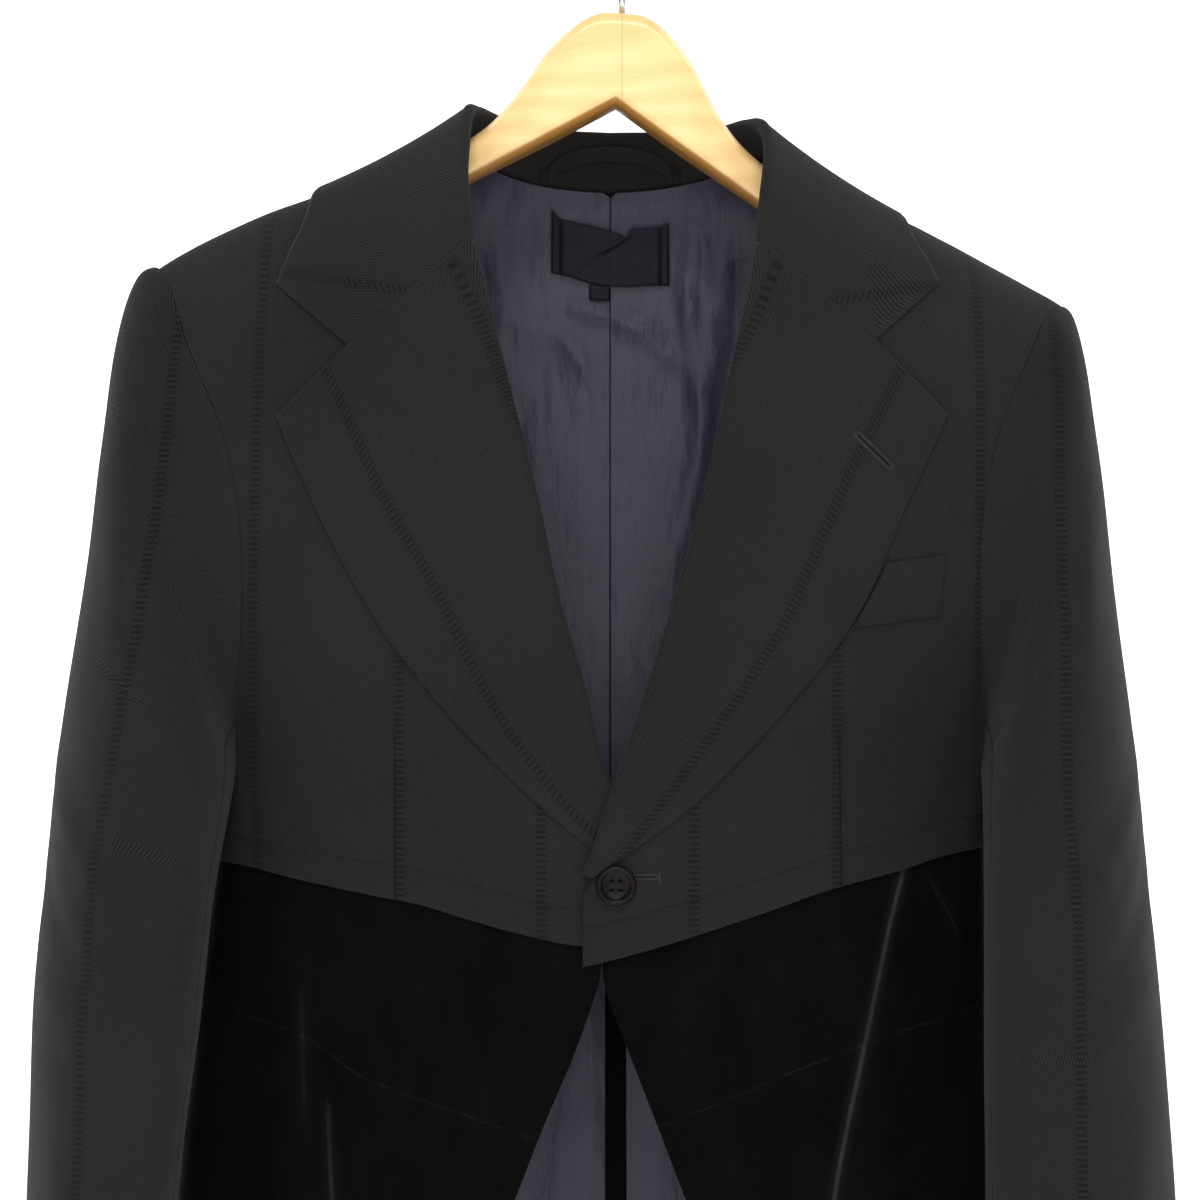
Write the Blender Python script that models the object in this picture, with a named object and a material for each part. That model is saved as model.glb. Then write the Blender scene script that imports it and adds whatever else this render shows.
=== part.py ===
# Long tailored jacket on a wooden hanger: cropped wool fronts over velvet skirts.
# Sizes are in millimetres here and turned into metres when a mesh is made.
# X is the viewer's right, Z is up, the front of the jacket faces -Y.
# The origin is the inner top of the hook, where it rests on a rail.

import bpy
import math

MM = 0.001
SEAM_GAP = 0.3

# cloth thicknesses
WOOL = 1.6
VELVET = 1.8
LINING = 1.0
LAPEL = 2.2
SLEEVE_WALL = 1.8

# the body is a flattened tube; this is the power of its rounded section
BODY_POWER = 2.6
# the tops of the shoulders round over within this height
CAP_HEIGHT = 95.0
# no edge of the body lies further from the middle than this
BODY_REACH = 260.0
NECK_X = 82.0
NECK_RISE = 18.0
UNDERARM_Z = -438.0
SHOULDER_Z = -209.0
BACK_NECK_Z = -157.0
BACK_HEM_Z = -490.0
SKIRT_HEM_Z = -1130.0
VELVET_OVERLAP = 22.0
VENT_TOP_Z = -576.0
FLUTE_DEPTH = 6.0
FLUTE_COUNT = 5.0

# the left shoulder hangs higher than the right one: x, rise of the cloth
TILT = [
    (-250, 11.7), (-144, 6.8), (0, 0.0), (147, -8.0), (165, -10.6), (185, -12.4),
    (205, -12.8), (223, -11.6), (250, -12.0),
]
TILT_FADE = 58.0

# turns over the shoulder at which a panel has a row of points, in degrees
CAP_TURNS = [89.0, 74.0, 60.0, 45.0, 31.0, 20.2, 9.0]
FRONT_ROWS = 12
FRONT_COLS = 13
BACK_ROWS = 10
BACK_COLS = 10

# height of the shoulder line over the half width: x, z
SHOULDER_LINE = [
    (0, -95), (40, -112), (60, -126), (82, -139), (112, -155), (144, -169.5),
    (168, -179), (187, -188), (206, -198), (223.4, -209), (245, -226),
]

# half depth of the front and of the back over height: z, front, back
DEPTH = [
    (-1130, 82, 88), (-900, 73, 78), (-700, 64, 67), (-560, 60, 59), (-500, 60, 57),
    (-430, 64, 60), (-330, 66, 63), (-250, 64, 62), (-200, 60, 60), (-150, 57, 57),
]

# half width of the section over height: z, width on the left, width on the right
WIDTH = [
    (-1130, 233, 226), (-1000, 228, 216), (-900, 224, 207), (-800, 220, 199), (-720, 216, 195),
    (-640, 211.5, 192), (-560, 205, 188.5), (-520, 199, 186.5), (-480, 191.5, 184.5), (-460, 187.5, 183),
    (-438, 182.2, 182.2), (-415, 188, 188), (-390, 203, 203), (-362, 222, 222),
    (-342, 232, 232), (-300, 242, 242), (-200, 250, 250),
]

# armhole seam over height: z, x at the front, x at the back
ARMHOLE = [
    (-438, 182.2, 182.2), (-430, 182.0, 182.6), (-415, 181.0, 183.5), (-390, 178.5, 184.5),
    (-362, 177.0, 185.5), (-342, 177.0, 186.5), (-318, 178.5, 188.0), (-286, 185.0, 192.5),
    (-266, 192.5, 197.0), (-241, 204.0, 206.0), (-219, 213.5, 214.5), (-209, 223.4, 223.4),
]

# roll line of each lapel over height: z, x
ROLL_LEFT = [
    (-452, -4.4), (-444.8, -6.0), (-411.5, -13.6), (-364, -27.0), (-316.5, -37.2),
    (-269, -49.2), (-221.5, -61.0), (-192, -68.3), (-165, -72.0), (-139, -82.0),
]
ROLL_RIGHT = [
    (-486, -5.0), (-470, -2.0), (-454, 3.6), (-411.5, 18.0), (-364, 32.8), (-316.5, 46.0),
    (-269, 56.4), (-221.5, 67.0), (-192, 72.4), (-165, 74.0), (-139, 82.0),
]

# lapel corners, left then right: roll x, gorge z, notch x, notch z, height of the roll's end
LAPEL_ENDS = [(-68.3, -193.5, -124.9, -242.8, -451.0), (72.4, -194.5, 125.4, -240.5, -484.0)]

# outer edge of each lapel from the tip down: share of the length, x, z
LAPEL_EDGE_LEFT = [
    (0.00, -159.1, -276.1), (0.10, -150.5, -297.0), (0.22, -138.5, -323.5),
    (0.36, -122.0, -355.0), (0.50, -104.5, -383.5), (0.64, -83.0, -411.0),
    (0.78, -58.5, -437.5), (0.90, -33.5, -461.5), (1.00, -9.4, -482.5),
]
LAPEL_EDGE_RIGHT = [
    (0.00, 160.0, -275.4), (0.10, 149.8, -298.5), (0.22, 138.0, -323.5),
    (0.36, 123.5, -358.5), (0.50, 106.5, -386.5), (0.64, 86.0, -412.0),
    (0.78, 62.5, -438.0), (0.90, 34.5, -464.5), (1.00, 2.0, -487.6),
]
LAPEL_ROWS = 14
LAPEL_COLS = 7
NOTCH_COL = 4
# radius of the roll and how high the lapel's middle lies over the front
ROLL_RADIUS = 2.1
ROLL_LIFT = 1.3
LAPEL_LIFT = 1.9
ROLL_TURNS = [-90.0, -45.0, 0.0, 45.0]
ROLL_TURNS_LOW = [0.0, 18.0, 36.0, 60.0]

# collar from the gorge to the centre back, half of it: share, roll x, y, z
COLLAR_ROLL = [
    (0.00, 70.3, -56.0, -192.0), (0.12, 71.2, -45.7, -169.0), (0.26, 71.4, -30.5, -147.0),
    (0.42, 71.0, -7.0, -125.5), (0.56, 67.0, 16.0, -121.0), (0.72, 53.0, 38.0, -122.5),
    (0.86, 28.0, 50.5, -124.5), (1.00, 0.0, 54.5, -125.0),
]
# lower edge of the stand, where it meets the body: share, x, y, z
COLLAR_FOOT = [
    (0.00, 71.8, -53.8, -192.0), (0.12, 74.0, -44.2, -171.2), (0.26, 76.6, -31.0, -155.0),
    (0.42, 80.0, -3.0, -139.5), (0.56, 74.0, 21.0, -141.6), (0.72, 54.5, 37.6, -148.2),
    (0.86, 29.0, 48.0, -153.4), (1.00, 0.0, 52.0, -155.3),
]
# directions of the roll: share, then where its edge points x, y, z, then the outer side x, y, z
COLLAR_LEAN = [
    (0.00, -0.97, 0.0, 0.22, 0.10, -0.98, 0.10), (0.12, -0.90, 0.10, 0.42, 0.25, -0.92, 0.30),
    (0.26, -0.68, 0.10, 0.72, 0.55, -0.70, 0.40), (0.42, -0.25, 0.00, 0.97, 0.95, -0.20, 0.20),
    (0.56, -0.12, -0.08, 0.98, 0.85, 0.50, 0.12), (0.72, -0.05, -0.08, 0.99, 0.52, 0.85, 0.08),
    (0.86, 0.00, -0.06, 1.00, 0.25, 0.96, 0.06), (1.00, 0.00, -0.05, 1.00, 0.00, 1.00, 0.05),
]
# outer edge of the fall: share, x, turn over the shoulder in degrees (front is negative)
COLLAR_LEAF = [
    (0.00, 158.7, -53.4), (0.12, 153.5, -43.6), (0.26, 147.0, -30.7), (0.42, 141.5, 0.0),
    (0.56, 128.0, 32.3), (0.72, 94.0, 51.9), (0.86, 50.0, 67.7), (1.00, 0.0, 80.9),
]
COLLAR_SHARES = [0.0, 0.06, 0.12, 0.19, 0.26, 0.34, 0.42, 0.49, 0.57, 0.65, 0.74, 0.82, 0.91, 1.0]
COLLAR_WALL = 2.2
COLLAR_LIFT = 2.3
FALL_COLS = 7
FALL_BULGE = -3.2
# the collar's front ends stand off to the right; its right roll is further out at its middle
COLLAR_OFF = 2.0
COLLAR_SPREAD = 3.6

# lower edge of the wool: x, z, for the left front and for the right front
HEM_LEFT = [
    (-186, -491.5), (-167, -494.5), (-145, -499), (-117, -504.5), (-90, -509.5), (-72, -515),
    (-45, -522.5), (-16, -528.4), (20, -530),
]
HEM_RIGHT = [
    (-14, -538.3), (-5, -536.4), (31, -526.5), (67.5, -515), (104, -502.5), (140, -493.5),
    (158, -488), (184, -484),
]

# cut-away front edge of each velvet skirt over height: z, x left, x right
CUTAWAY = [
    (-1130, -218, 212), (-1050, -200, 196), (-1000, -182, 178), (-900, -144, 138),
    (-800, -105, 97), (-720, -74.5, 65.0), (-649, -45.6, 35.7), (-615, -32.3, 22.5),
    (-582, -18.2, 9.6), (-556, -8.8, -0.4), (-542, -4.9, -4.0), (-500, -4.7, -4.0),
]

# sleeves: outer x, outer z, inner x, inner z, centre y, half depth, share of the tube's own form
SLEEVE_LEFT = [
    (-225.5, -207.0, -182.8, -438.8, 0, 46, 0.0), (-232.5, -208.5, -183.4, -440.0, 0, 50, 0.35),
    (-239.5, -218.0, -183.6, -441.5, -1, 56, 0.7), (-245.5, -246.0, -183.4, -443.0, -4, 61, 0.95),
    (-250.5, -290.0, -183.0, -445.0, -9, 66, 1.0), (-255.0, -334.0, -182.6, -448.0, -15, 69, 1.0),
    (-261.8, -384.0, -182.6, -456.0, -24, 70, 1.0), (-267.8, -434.0, -184.6, -476.0, -36, 68, 1.0),
    (-272.0, -492.0, -188.6, -508.0, -50, 64, 1.0), (-275.6, -552.0, -192.2, -556.0, -62, 61, 1.0),
    (-276.2, -610.0, -198.7, -612.0, -70, 58, 1.0), (-277.2, -665.0, -203.0, -666.0, -75, 55, 1.0),
    (-278.0, -735.0, -205.0, -735.0, -80, 51, 1.0), (-277.5, -805.0, -205.0, -804.0, -84, 47, 1.0),
]
SLEEVE_RIGHT = [
    (225.5, -207.0, 182.8, -438.8, 0, 46, 0.0), (229.4, -210.0, 183.0, -440.0, 0, 50, 0.35),
    (231.6, -220.0, 182.6, -441.5, -3, 56, 0.7), (233.6, -246.0, 181.6, -443.0, -8, 61, 0.95),
    (238.6, -290.0, 180.8, -445.0, -14, 66, 1.0), (243.0, -334.0, 179.8, -448.0, -21, 69, 1.0),
    (248.0, -384.0, 178.8, -456.0, -31, 69, 1.0), (253.0, -434.0, 177.2, -476.0, -44, 67, 1.0),
    (257.0, -492.0, 175.6, -508.0, -58, 63, 1.0), (261.0, -552.0, 174.4, -556.0, -68, 60, 1.0),
    (264.4, -610.0, 174.0, -612.0, -75, 57, 1.0), (267.0, -665.0, 174.6, -666.0, -79, 54, 1.0),
    (268.0, -735.0, 179.0, -735.0, -83, 50, 1.0), (267.5, -805.0, 185.0, -804.0, -86, 47, 1.0),
]
SLEEVE_POWER = 2.2
# the tube leans: its front stands this much further in than its back
SLEEVE_SKEW = 12.0
ARMHOLE_GAP = 0.8
# seams of the two sleeve pieces round the tube, in degrees from the outer side
SLEEVE_SEAM_FRONT = 150.0
SLEEVE_SEAM_BACK = -118.0
SLEEVE_SEAM_GAP = 0.5
UPPER_COLS = 16
UNDER_COLS = 8

# breast pocket welt: top left, top right, bottom left, bottom right as x, z
WELT = [(131.4, -346.2), (159.0, -342.6), (115.2, -377.0), (156.6, -371.4)]
WELT_THICK = 1.5

BUTTON_X = 2.4
BUTTON_Z = -498.9
BUTTON_LIFT = 3.6
THREAD_RADIUS = 1.6
# outline of the button: radius, height over its underside
BUTTON_PROFILE = [
    (0.0, 0.0), (7.5, 0.0), (9.3, 0.9), (9.6, 2.0), (9.0, 3.1), (8.0, 3.4), (7.0, 2.9),
    (6.2, 2.1), (0.0, 1.9),
]
BUTTON_SIDES = 28
BUTTON_HOLE_SPREAD = 1.8
BUTTON_HOLE_RADIUS = 0.9

# cloth labels and the loop at the back neck
LABEL_HALF = 30.5
LABEL_TOP_Z = -165.5
LABEL_BOTTOM_Z = -202.5
TAB_X = -5.4
TAB_HALF = 5.3
TAB_BOTTOM_Z = -210.0
LABEL_THICK = 0.7
LOOP_HALF = 32.0
LOOP_WIDTH = 4.6
LOOP_THICK = 1.2
LOOP_Y = 48.4
LOOP_END_IN = 3.4
LOOP_END_Z = -144.0
LOOP_RISE = 8.0

# inner layers, measured inward from the outer face of the wool
VELVET_LIFT_FRONT = 2.5
VELVET_LIFT_BACK = 2.1
LINING_LIFT_TOP = 2.6
LINING_LIFT_SKIRT = 4.9
LINING_STEP_Z = -462.0
# rows of the back that the lining has too; it goes on down with every other row of the skirt
LINING_BACK_ROWS = [2, 3, 4, 5, 6, 7, 9, 11, 13, 14]
# rows of the skirts, as shares of the way from the wool's hem to their own
SKIRT_SHARES = [0.0, 0.05, 0.11, 0.19, 0.28, 0.37, 0.47, 0.58, 0.69, 0.8, 0.9, 1.0]
SKIRT_FRONT_COLS = 9
LINING_HEM_Z = -1112.0
# what is laid on the lining stands this far off it
LAID_GAP = 0.8
VENT_LEFT_X = -2.6
VENT_RIGHT_X = 8.2
VENT_THICK = 0.8
# the strip inside the vent starts at the first row of the lining below this much over its top
VENT_ABOVE = 20.0

# hanger, in its own frame below the top of the wood: half width, upper edge, lower edge, thickness
HANGER_TOP = (5.7, -75.0)
HANGER_LEAN = math.radians(4.0)
# the hidden ends of its arms lean less, as the cloth's weight lies on them
HANGER_LEAN_ENDS = math.radians(2.4)
HANGER_PROFILE = [
    (0, 0.0, -45.0, 30), (12, -1.2, -52.5, 30), (24, -9.0, -60.0, 30), (37, -24.0, -68.0, 29),
    (47, -40.5, -74.0, 27), (57, -54.0, -80.0, 25), (67, -63.5, -86.0, 22),
    (82, -73.5, -95.0, 19), (112, -86.0, -108.0, 18), (144, -98.3, -119.0, 18),
    (168, -108.8, -128.0, 17), (184, -117.2, -134.5, 15), (190, -123.0, -132.0, 10),
]
HANGER_CORNER = 7.0
HOOK_WIRE = 1.7
HOOK_RADIUS = 20.0
HOOK_SIDES = 8
# shaft of the hook from the wood up to its round part: x, z
HOOK_SHAFT = [(5.7, -74.6), (5.7, -66.0), (5.7, -58.0), (7.2, -50.5), (11.5, -43.5)]
HOOK_TURNS = [-40.0, 200.0]
HOOK_STEPS = 20


def slope_at(rows, index, column):
    """Slope of a table's column at one of its rows."""
    low = max(index - 1, 0)
    high = min(index + 1, len(rows) - 1)
    span = rows[high][0] - rows[low][0]
    return (rows[high][column] - rows[low][column]) / span


def look_up(rows, key, column=1):
    """Smooth value of a table's column; the first column is the key and runs upward."""
    if key <= rows[0][0]:
        return rows[0][column]
    if key >= rows[-1][0]:
        return rows[-1][column]
    index = 0
    while rows[index + 1][0] < key:
        index += 1
    span = rows[index + 1][0] - rows[index][0]
    t = (key - rows[index][0]) / span
    a = rows[index][column]
    b = rows[index + 1][column]
    ma = slope_at(rows, index, column) * span
    mb = slope_at(rows, index + 1, column) * span
    t2 = t * t
    t3 = t2 * t
    return (2 * t3 - 3 * t2 + 1) * a + (t3 - 2 * t2 + t) * ma + (3 * t2 - 2 * t3) * b + (t3 - t2) * mb


def ease(t):
    """Smooth step from 0 to 1."""
    t = min(max(t, 0.0), 1.0)
    return t * t * (3 - 2 * t)


def mix(a, b, t):
    """Straight blend of two numbers or points."""
    if isinstance(a, tuple):
        return tuple(p + (q - p) * t for p, q in zip(a, b))
    return a + (b - a) * t


def length(a):
    return math.sqrt(a[0] * a[0] + a[1] * a[1] + a[2] * a[2])


def unit(a):
    size = length(a)
    if size < 1e-9:
        return (0.0, 0.0, 0.0)
    return (a[0] / size, a[1] / size, a[2] / size)


def sub(a, b):
    return (a[0] - b[0], a[1] - b[1], a[2] - b[2])


def cross(a, b):
    return (a[1] * b[2] - a[2] * b[1], a[2] * b[0] - a[0] * b[2], a[0] * b[1] - a[1] * b[0])


def shift(p, n, d):
    """Point moved by a distance along a direction."""
    return (p[0] + n[0] * d, p[1] + n[1] * d, p[2] + n[2] * d)


def signed_power(v, power):
    return math.copysign(abs(v) ** power, v)


def flare(x, z, side):
    """Soft flutes of the skirts, growing toward the hem."""
    grow = ease((-560.0 - z) / 570.0)
    phase = math.atan2(x, -side * 90.0)
    return FLUTE_DEPTH * grow * math.sin(FLUTE_COUNT * phase + 0.6 * side)


def shoulder_z(x):
    """Height of the shoulder line at a given half width."""
    return look_up(SHOULDER_LINE, abs(x))


def width_at(x, z):
    """Half width of the section on the side of x."""
    return look_up(WIDTH, z, 1 if x < 0 else 2)


def depth_at(x, z, side):
    """How far the front or back surface stands off the middle plane."""
    across = min(abs(x) / width_at(x, z), 1.0)
    section = (1.0 - across ** BODY_POWER) ** (1.0 / BODY_POWER)
    down = max(shoulder_z(x) - z, 0.0)
    q = min(max(1.0 - down / CAP_HEIGHT, 0.0), 1.0)
    cap = math.sqrt(max(1.0 - q * q, 0.0))
    deep = look_up(DEPTH, z, 1 if side < 0 else 2) + flare(x, z, side)
    return deep * section * cap


def body_level(x, y, z, side):
    """Zero on the surface of the body, positive outside it."""
    across = abs(x) / width_at(x, z)
    room = 1.0 - across ** BODY_POWER
    section = signed_power(room, 2.0 / BODY_POWER)
    q = max(1.0 - (shoulder_z(x) - z) / CAP_HEIGHT, 0.0)
    deep = look_up(DEPTH, z, 1 if side < 0 else 2) + flare(x, z, side)
    return (y / deep) ** 2 - section * (1.0 - q * q)


def body_normal(p, side):
    """Outward normal of the body at a point on it."""
    e = 0.4
    x, y, z = p
    return unit((
        body_level(x + e, y, z, side) - body_level(x - e, y, z, side),
        body_level(x, y + e, z, side) - body_level(x, y - e, z, side),
        body_level(x, y, z + e, side) - body_level(x, y, z - e, side),
    ))


def on_body(x, z, side, lift):
    """Point on the front (-1) or back (+1), moved out along the surface normal."""
    p = (x, side * depth_at(x, z, side), z)
    return shift(p, body_normal(p, side), lift)


def over_shoulder(x, turn, lift):
    """Point on the body at a turn over the shoulder; zero is the shoulder line itself."""
    side = -1 if turn < 0 else 1
    z = shoulder_z(x) - CAP_HEIGHT * (1.0 - math.cos(math.radians(turn)))
    if abs(turn) < 1.0:
        return shift((x, 0.0, z), body_normal((x, 0.0, z), side), lift)
    return on_body(x, z, side, lift)


def tilt(point):
    """Raise the left shoulder and lower the right one; fades out below the shoulders."""
    x, y, z = point
    down = shoulder_z(x) - z
    weight = 1.0 - ease((down + 14.0) / TILT_FADE)
    return (x, y, z + look_up(TILT, x) * weight)


def make_material(name, color, rough, metal=0.0):
    mat = bpy.data.materials.new(name)
    mat.use_nodes = True
    shader = mat.node_tree.nodes["Principled BSDF"]
    shader.inputs["Base Color"].default_value = (color[0], color[1], color[2], 1.0)
    shader.inputs["Roughness"].default_value = rough
    shader.inputs["Metallic"].default_value = metal
    return mat


def enclosed(verts, faces):
    """Signed volume of a closed mesh; negative where its faces point inward."""
    total = 0.0
    for face in faces:
        a = verts[face[0]]
        for k in range(1, len(face) - 1):
            n = cross(verts[face[k]], verts[face[k + 1]])
            total += a[0] * n[0] + a[1] * n[1] + a[2] * n[2]
    return total / 6.0


def make_object(name, verts, faces, mat):
    """Mesh object from points in millimetres, with its faces pointing out."""
    if enclosed(verts, faces) < 0.0:
        faces = [tuple(reversed(f)) for f in faces]
    mesh = bpy.data.meshes.new(name)
    mesh.from_pydata([(x * MM, y * MM, z * MM) for x, y, z in verts], [], faces)
    mesh.validate()
    mesh.materials.append(mat)
    for poly in mesh.polygons:
        poly.use_smooth = True
    obj = bpy.data.objects.new(name, mesh)
    bpy.context.scene.collection.objects.link(obj)
    return obj


def grid_normals(grid, sign, closed=False):
    """Normal at each point of a grid from its neighbours; closed joins its last column to its first."""
    rows = len(grid)
    cols = len(grid[0])
    out = []
    for i in range(rows):
        line = []
        for j in range(cols):
            down = sub(grid[min(i + 1, rows - 1)][j], grid[max(i - 1, 0)][j])
            if closed:
                along = sub(grid[i][(j + 1) % cols], grid[i][(j - 1) % cols])
            else:
                along = sub(grid[i][min(j + 1, cols - 1)], grid[i][max(j - 1, 0)])
            n = unit(cross(along, down))
            line.append((n[0] * sign, n[1] * sign, n[2] * sign))
        out.append(line)
    return out


def wall(name, grid, outer, inner, mat, sign, normals=None):
    """Closed cloth wall between two offsets of one grid; an offset is a number or a grid of them."""
    rows = len(grid)
    cols = len(grid[0])
    if normals is None:
        normals = grid_normals(grid, sign)
    verts = []
    for lift in (outer, inner):
        for i in range(rows):
            for j in range(cols):
                d = lift[i][j] if isinstance(lift, list) else lift
                verts.append(tilt(shift(grid[i][j], normals[i][j], d)))
    base = rows * cols
    faces = []
    for i in range(rows - 1):
        for j in range(cols - 1):
            a = i * cols + j
            b, c, d = a + 1, a + cols + 1, a + cols
            # both layers are split along the same diagonal
            if length(sub(grid[i][j], grid[i + 1][j + 1])) < length(sub(grid[i][j + 1], grid[i + 1][j])):
                halves = ((a, b, c), (a, c, d))
            else:
                halves = ((a, b, d), (b, c, d))
            for p, q, r in halves:
                faces.append((p, q, r))
                faces.append((base + r, base + q, base + p))
    rim = list(range(cols))
    rim += [i * cols + cols - 1 for i in range(1, rows)]
    rim += [(rows - 1) * cols + j for j in range(cols - 2, -1, -1)]
    rim += [i * cols for i in range(rows - 2, 0, -1)]
    for k in range(len(rim)):
        a = rim[k]
        b = rim[(k + 1) % len(rim)]
        faces.append((b, a, base + a, base + b))
    return make_object(name, verts, faces, mat)


def tube(name, rings, mat):
    """Closed solid through a list of rings of points, capped at both ends."""
    sides = len(rings[0])
    verts = [p for ring in rings for p in ring]
    faces = []
    for i in range(len(rings) - 1):
        for j in range(sides):
            a = i * sides + j
            b = i * sides + (j + 1) % sides
            faces.append((a, b, b + sides, a + sides))
    last = (len(rings) - 1) * sides
    faces.append(tuple(reversed(range(sides))))
    faces.append(tuple(range(last, last + sides)))
    return make_object(name, verts, faces, mat)


def meet(edge, z_of):
    """Where a row of heights z_of meets an edge given over height, found by halving."""
    low = -BODY_REACH
    high = BODY_REACH
    for _ in range(36):
        x = (low + high) / 2
        if edge(z_of(x)) > x:
            low = x
        else:
            high = x
    return (low + high) / 2


def row_points(x_in, x_out, z_of, side, cols):
    """One row across a body panel; x_in and x_out are functions of height, z_of of x."""
    a = meet(x_in, z_of)
    b = meet(x_out, z_of)
    ends = []
    for x in (a, b):
        share = min(abs(x) / width_at(x, z_of(x)), 1.0)
        ends.append(math.copysign(math.asin(share), x))
    line = []
    for j in range(cols):
        share = math.sin(mix(ends[0], ends[1], j / (cols - 1)))
        x = mix(a, b, j / (cols - 1))
        for _ in range(8):
            x = share * width_at(share, z_of(x))
        if j == 0:
            x = a
        if j == cols - 1:
            x = b
        z = z_of(x)
        line.append((x, side * max(depth_at(x, z, side), SEAM_GAP), z))
    return line


def body_normals(grid, side):
    """Body normals at the points of a panel's grid, evened out with their neighbours."""
    plain = [[body_normal(p, side) for p in line] for line in grid]
    rows = len(grid)
    cols = len(grid[0])
    out = []
    for i in range(rows):
        line = []
        for j in range(cols):
            total = tuple(2.0 * v for v in plain[i][j])
            for a, b in ((i - 1, j), (i + 1, j), (i, j - 1), (i, j + 1)):
                near = plain[min(max(a, 0), rows - 1)][min(max(b, 0), cols - 1)]
                total = shift(total, near, 0.5)
            if abs(grid[i][j][0]) < 1.0:
                total = (0.0, total[1], total[2])
            line.append(unit(total))
        out.append(line)
    return out


def body_rows(low_z, lower_rows):
    """Height functions of a wool panel's rows, from the shoulder line to the hem."""
    rows = []
    for turn in CAP_TURNS:
        drop = CAP_HEIGHT * (1.0 - math.sin(math.radians(turn)))
        rows.append(lambda x, d=drop: shoulder_z(x) - d)
    for k in range(1, lower_rows + 1):
        share = k / lower_rows
        rows.append(lambda x, t=share, d=drop: mix(shoulder_z(x) - d, low_z(x), t))
    return rows


def side_edge(sign, column):
    """Outer edge of a panel: the armhole above the underarm, the side seam below it."""
    def edge(z):
        if z > UNDERARM_Z:
            return sign * look_up(ARMHOLE, z, column)
        return sign * width_at(sign, z)
    return edge


def neck_room(z):
    """How far a front's inner edge stands off the roll line."""
    return 1.9 + 1.8 * ease((z + 192.0) / 18.0)


def lap_lift(x, z):
    """The right front stands out where it laps over the left one."""
    return 2.4 * ease((52.0 - x) / 34.0) * ease((-395.0 - z) / 48.0)


def front_left_edge(z):
    """Inner edge of the left front: beside the lapel's roll, then under the right front."""
    if z > -452.0:
        return look_up(ROLL_LEFT, z) - neck_room(z)
    return mix(look_up(ROLL_LEFT, -452.0) - neck_room(z), 17.0, ease((-452.0 - z) / 22.0))


def front_right_edge(z):
    """Inner edge of the right front: beside the roll, then its free front edge."""
    if z > -486.0:
        return look_up(ROLL_RIGHT, z) + neck_room(z)
    return mix(look_up(ROLL_RIGHT, -486.0) + neck_room(z), -13.4, ease((-486.0 - z) / 20.0))


def hem_left(x):
    return look_up(HEM_LEFT, x)


def hem_right(x):
    return look_up(HEM_RIGHT, x)


def hem_back(x):
    return BACK_HEM_Z + 4.0 * ease(abs(x) / 180.0)


def lifts(grid, lift_of, extra):
    """Offsets at the points of a grid from a function of x and z."""
    return [[lift_of(p[0], p[2]) + extra for p in line] for line in grid]


def build_fronts(wool):
    rows = body_rows(hem_left, FRONT_ROWS)
    grid = [row_points(front_left_edge, side_edge(-1, 1), z_of, -1, FRONT_COLS) for z_of in rows]
    wall("front_left", grid, 0.0, -WOOL, wool, 1.0, body_normals(grid, -1))
    rows = body_rows(hem_right, FRONT_ROWS)
    grid = [row_points(front_right_edge, side_edge(1, 1), z_of, -1, FRONT_COLS) for z_of in rows]
    outer = lifts(grid, lap_lift, 0.0)
    inner = lifts(grid, lap_lift, -WOOL)
    wall("front_right", grid, outer, inner, wool, -1.0, body_normals(grid, -1))


def neck_back_edge(sign):
    """Inner edge of a back half: the centre-back seam, then the back neck seam above it."""
    def edge(z):
        t = min(max((z - BACK_NECK_Z) / NECK_RISE, 0.0), 1.0)
        return sign * max(SEAM_GAP / 2, NECK_X * math.sqrt(t))
    return edge


def back_grid(sign):
    """Points of one back half, from the shoulder to the hem of the wool."""
    rows = body_rows(hem_back, BACK_ROWS)
    return [row_points(neck_back_edge(sign), side_edge(sign, 2), z_of, 1, BACK_COLS) for z_of in rows]


def skirt_grid(sign, low, edge, side, cols, hem):
    """Points of one skirt, from under the wool down to its own hem."""
    rows = [lambda x: low(x) + VELVET_OVERLAP]
    for share in SKIRT_SHARES[:-1]:
        rows.append(lambda x, t=share: mix(low(x), SKIRT_HEM_Z, t))
    rows.append(lambda x: hem)
    outer = side_edge(sign, 1 if side < 0 else 2)
    return [row_points(edge, outer, z_of, side, cols) for z_of in rows]


def build_backs(wool):
    for sign, name in ((-1, "back_left"), (1, "back_right")):
        grid = back_grid(sign)
        wall(name, grid, 0.0, -WOOL, wool, float(-sign), body_normals(grid, 1))


def roll_direction(roll, z, sign):
    """Direction across the roll line, toward the middle of the opening, as x and z."""
    slope = (look_up(roll, z + 4.0) - look_up(roll, z - 4.0)) / 8.0
    size = math.sqrt(1.0 + slope * slope)
    return (-sign / size, sign * slope / size)


def lapel_point(roll_x, roll_z, out_x, out_z, notch, share, blend):
    """Place of a lapel point as x and z; the top row bends at the notch."""
    x = mix(roll_x, out_x, share)
    z = mix(roll_z, out_z, share)
    knee = NOTCH_COL / LAPEL_COLS
    if share <= knee:
        bent = mix((roll_x, roll_z), notch, share / knee)
    else:
        bent = mix(notch, (out_x, out_z), (share - knee) / (1.0 - knee))
    return mix(bent, (x, z), blend)


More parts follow.
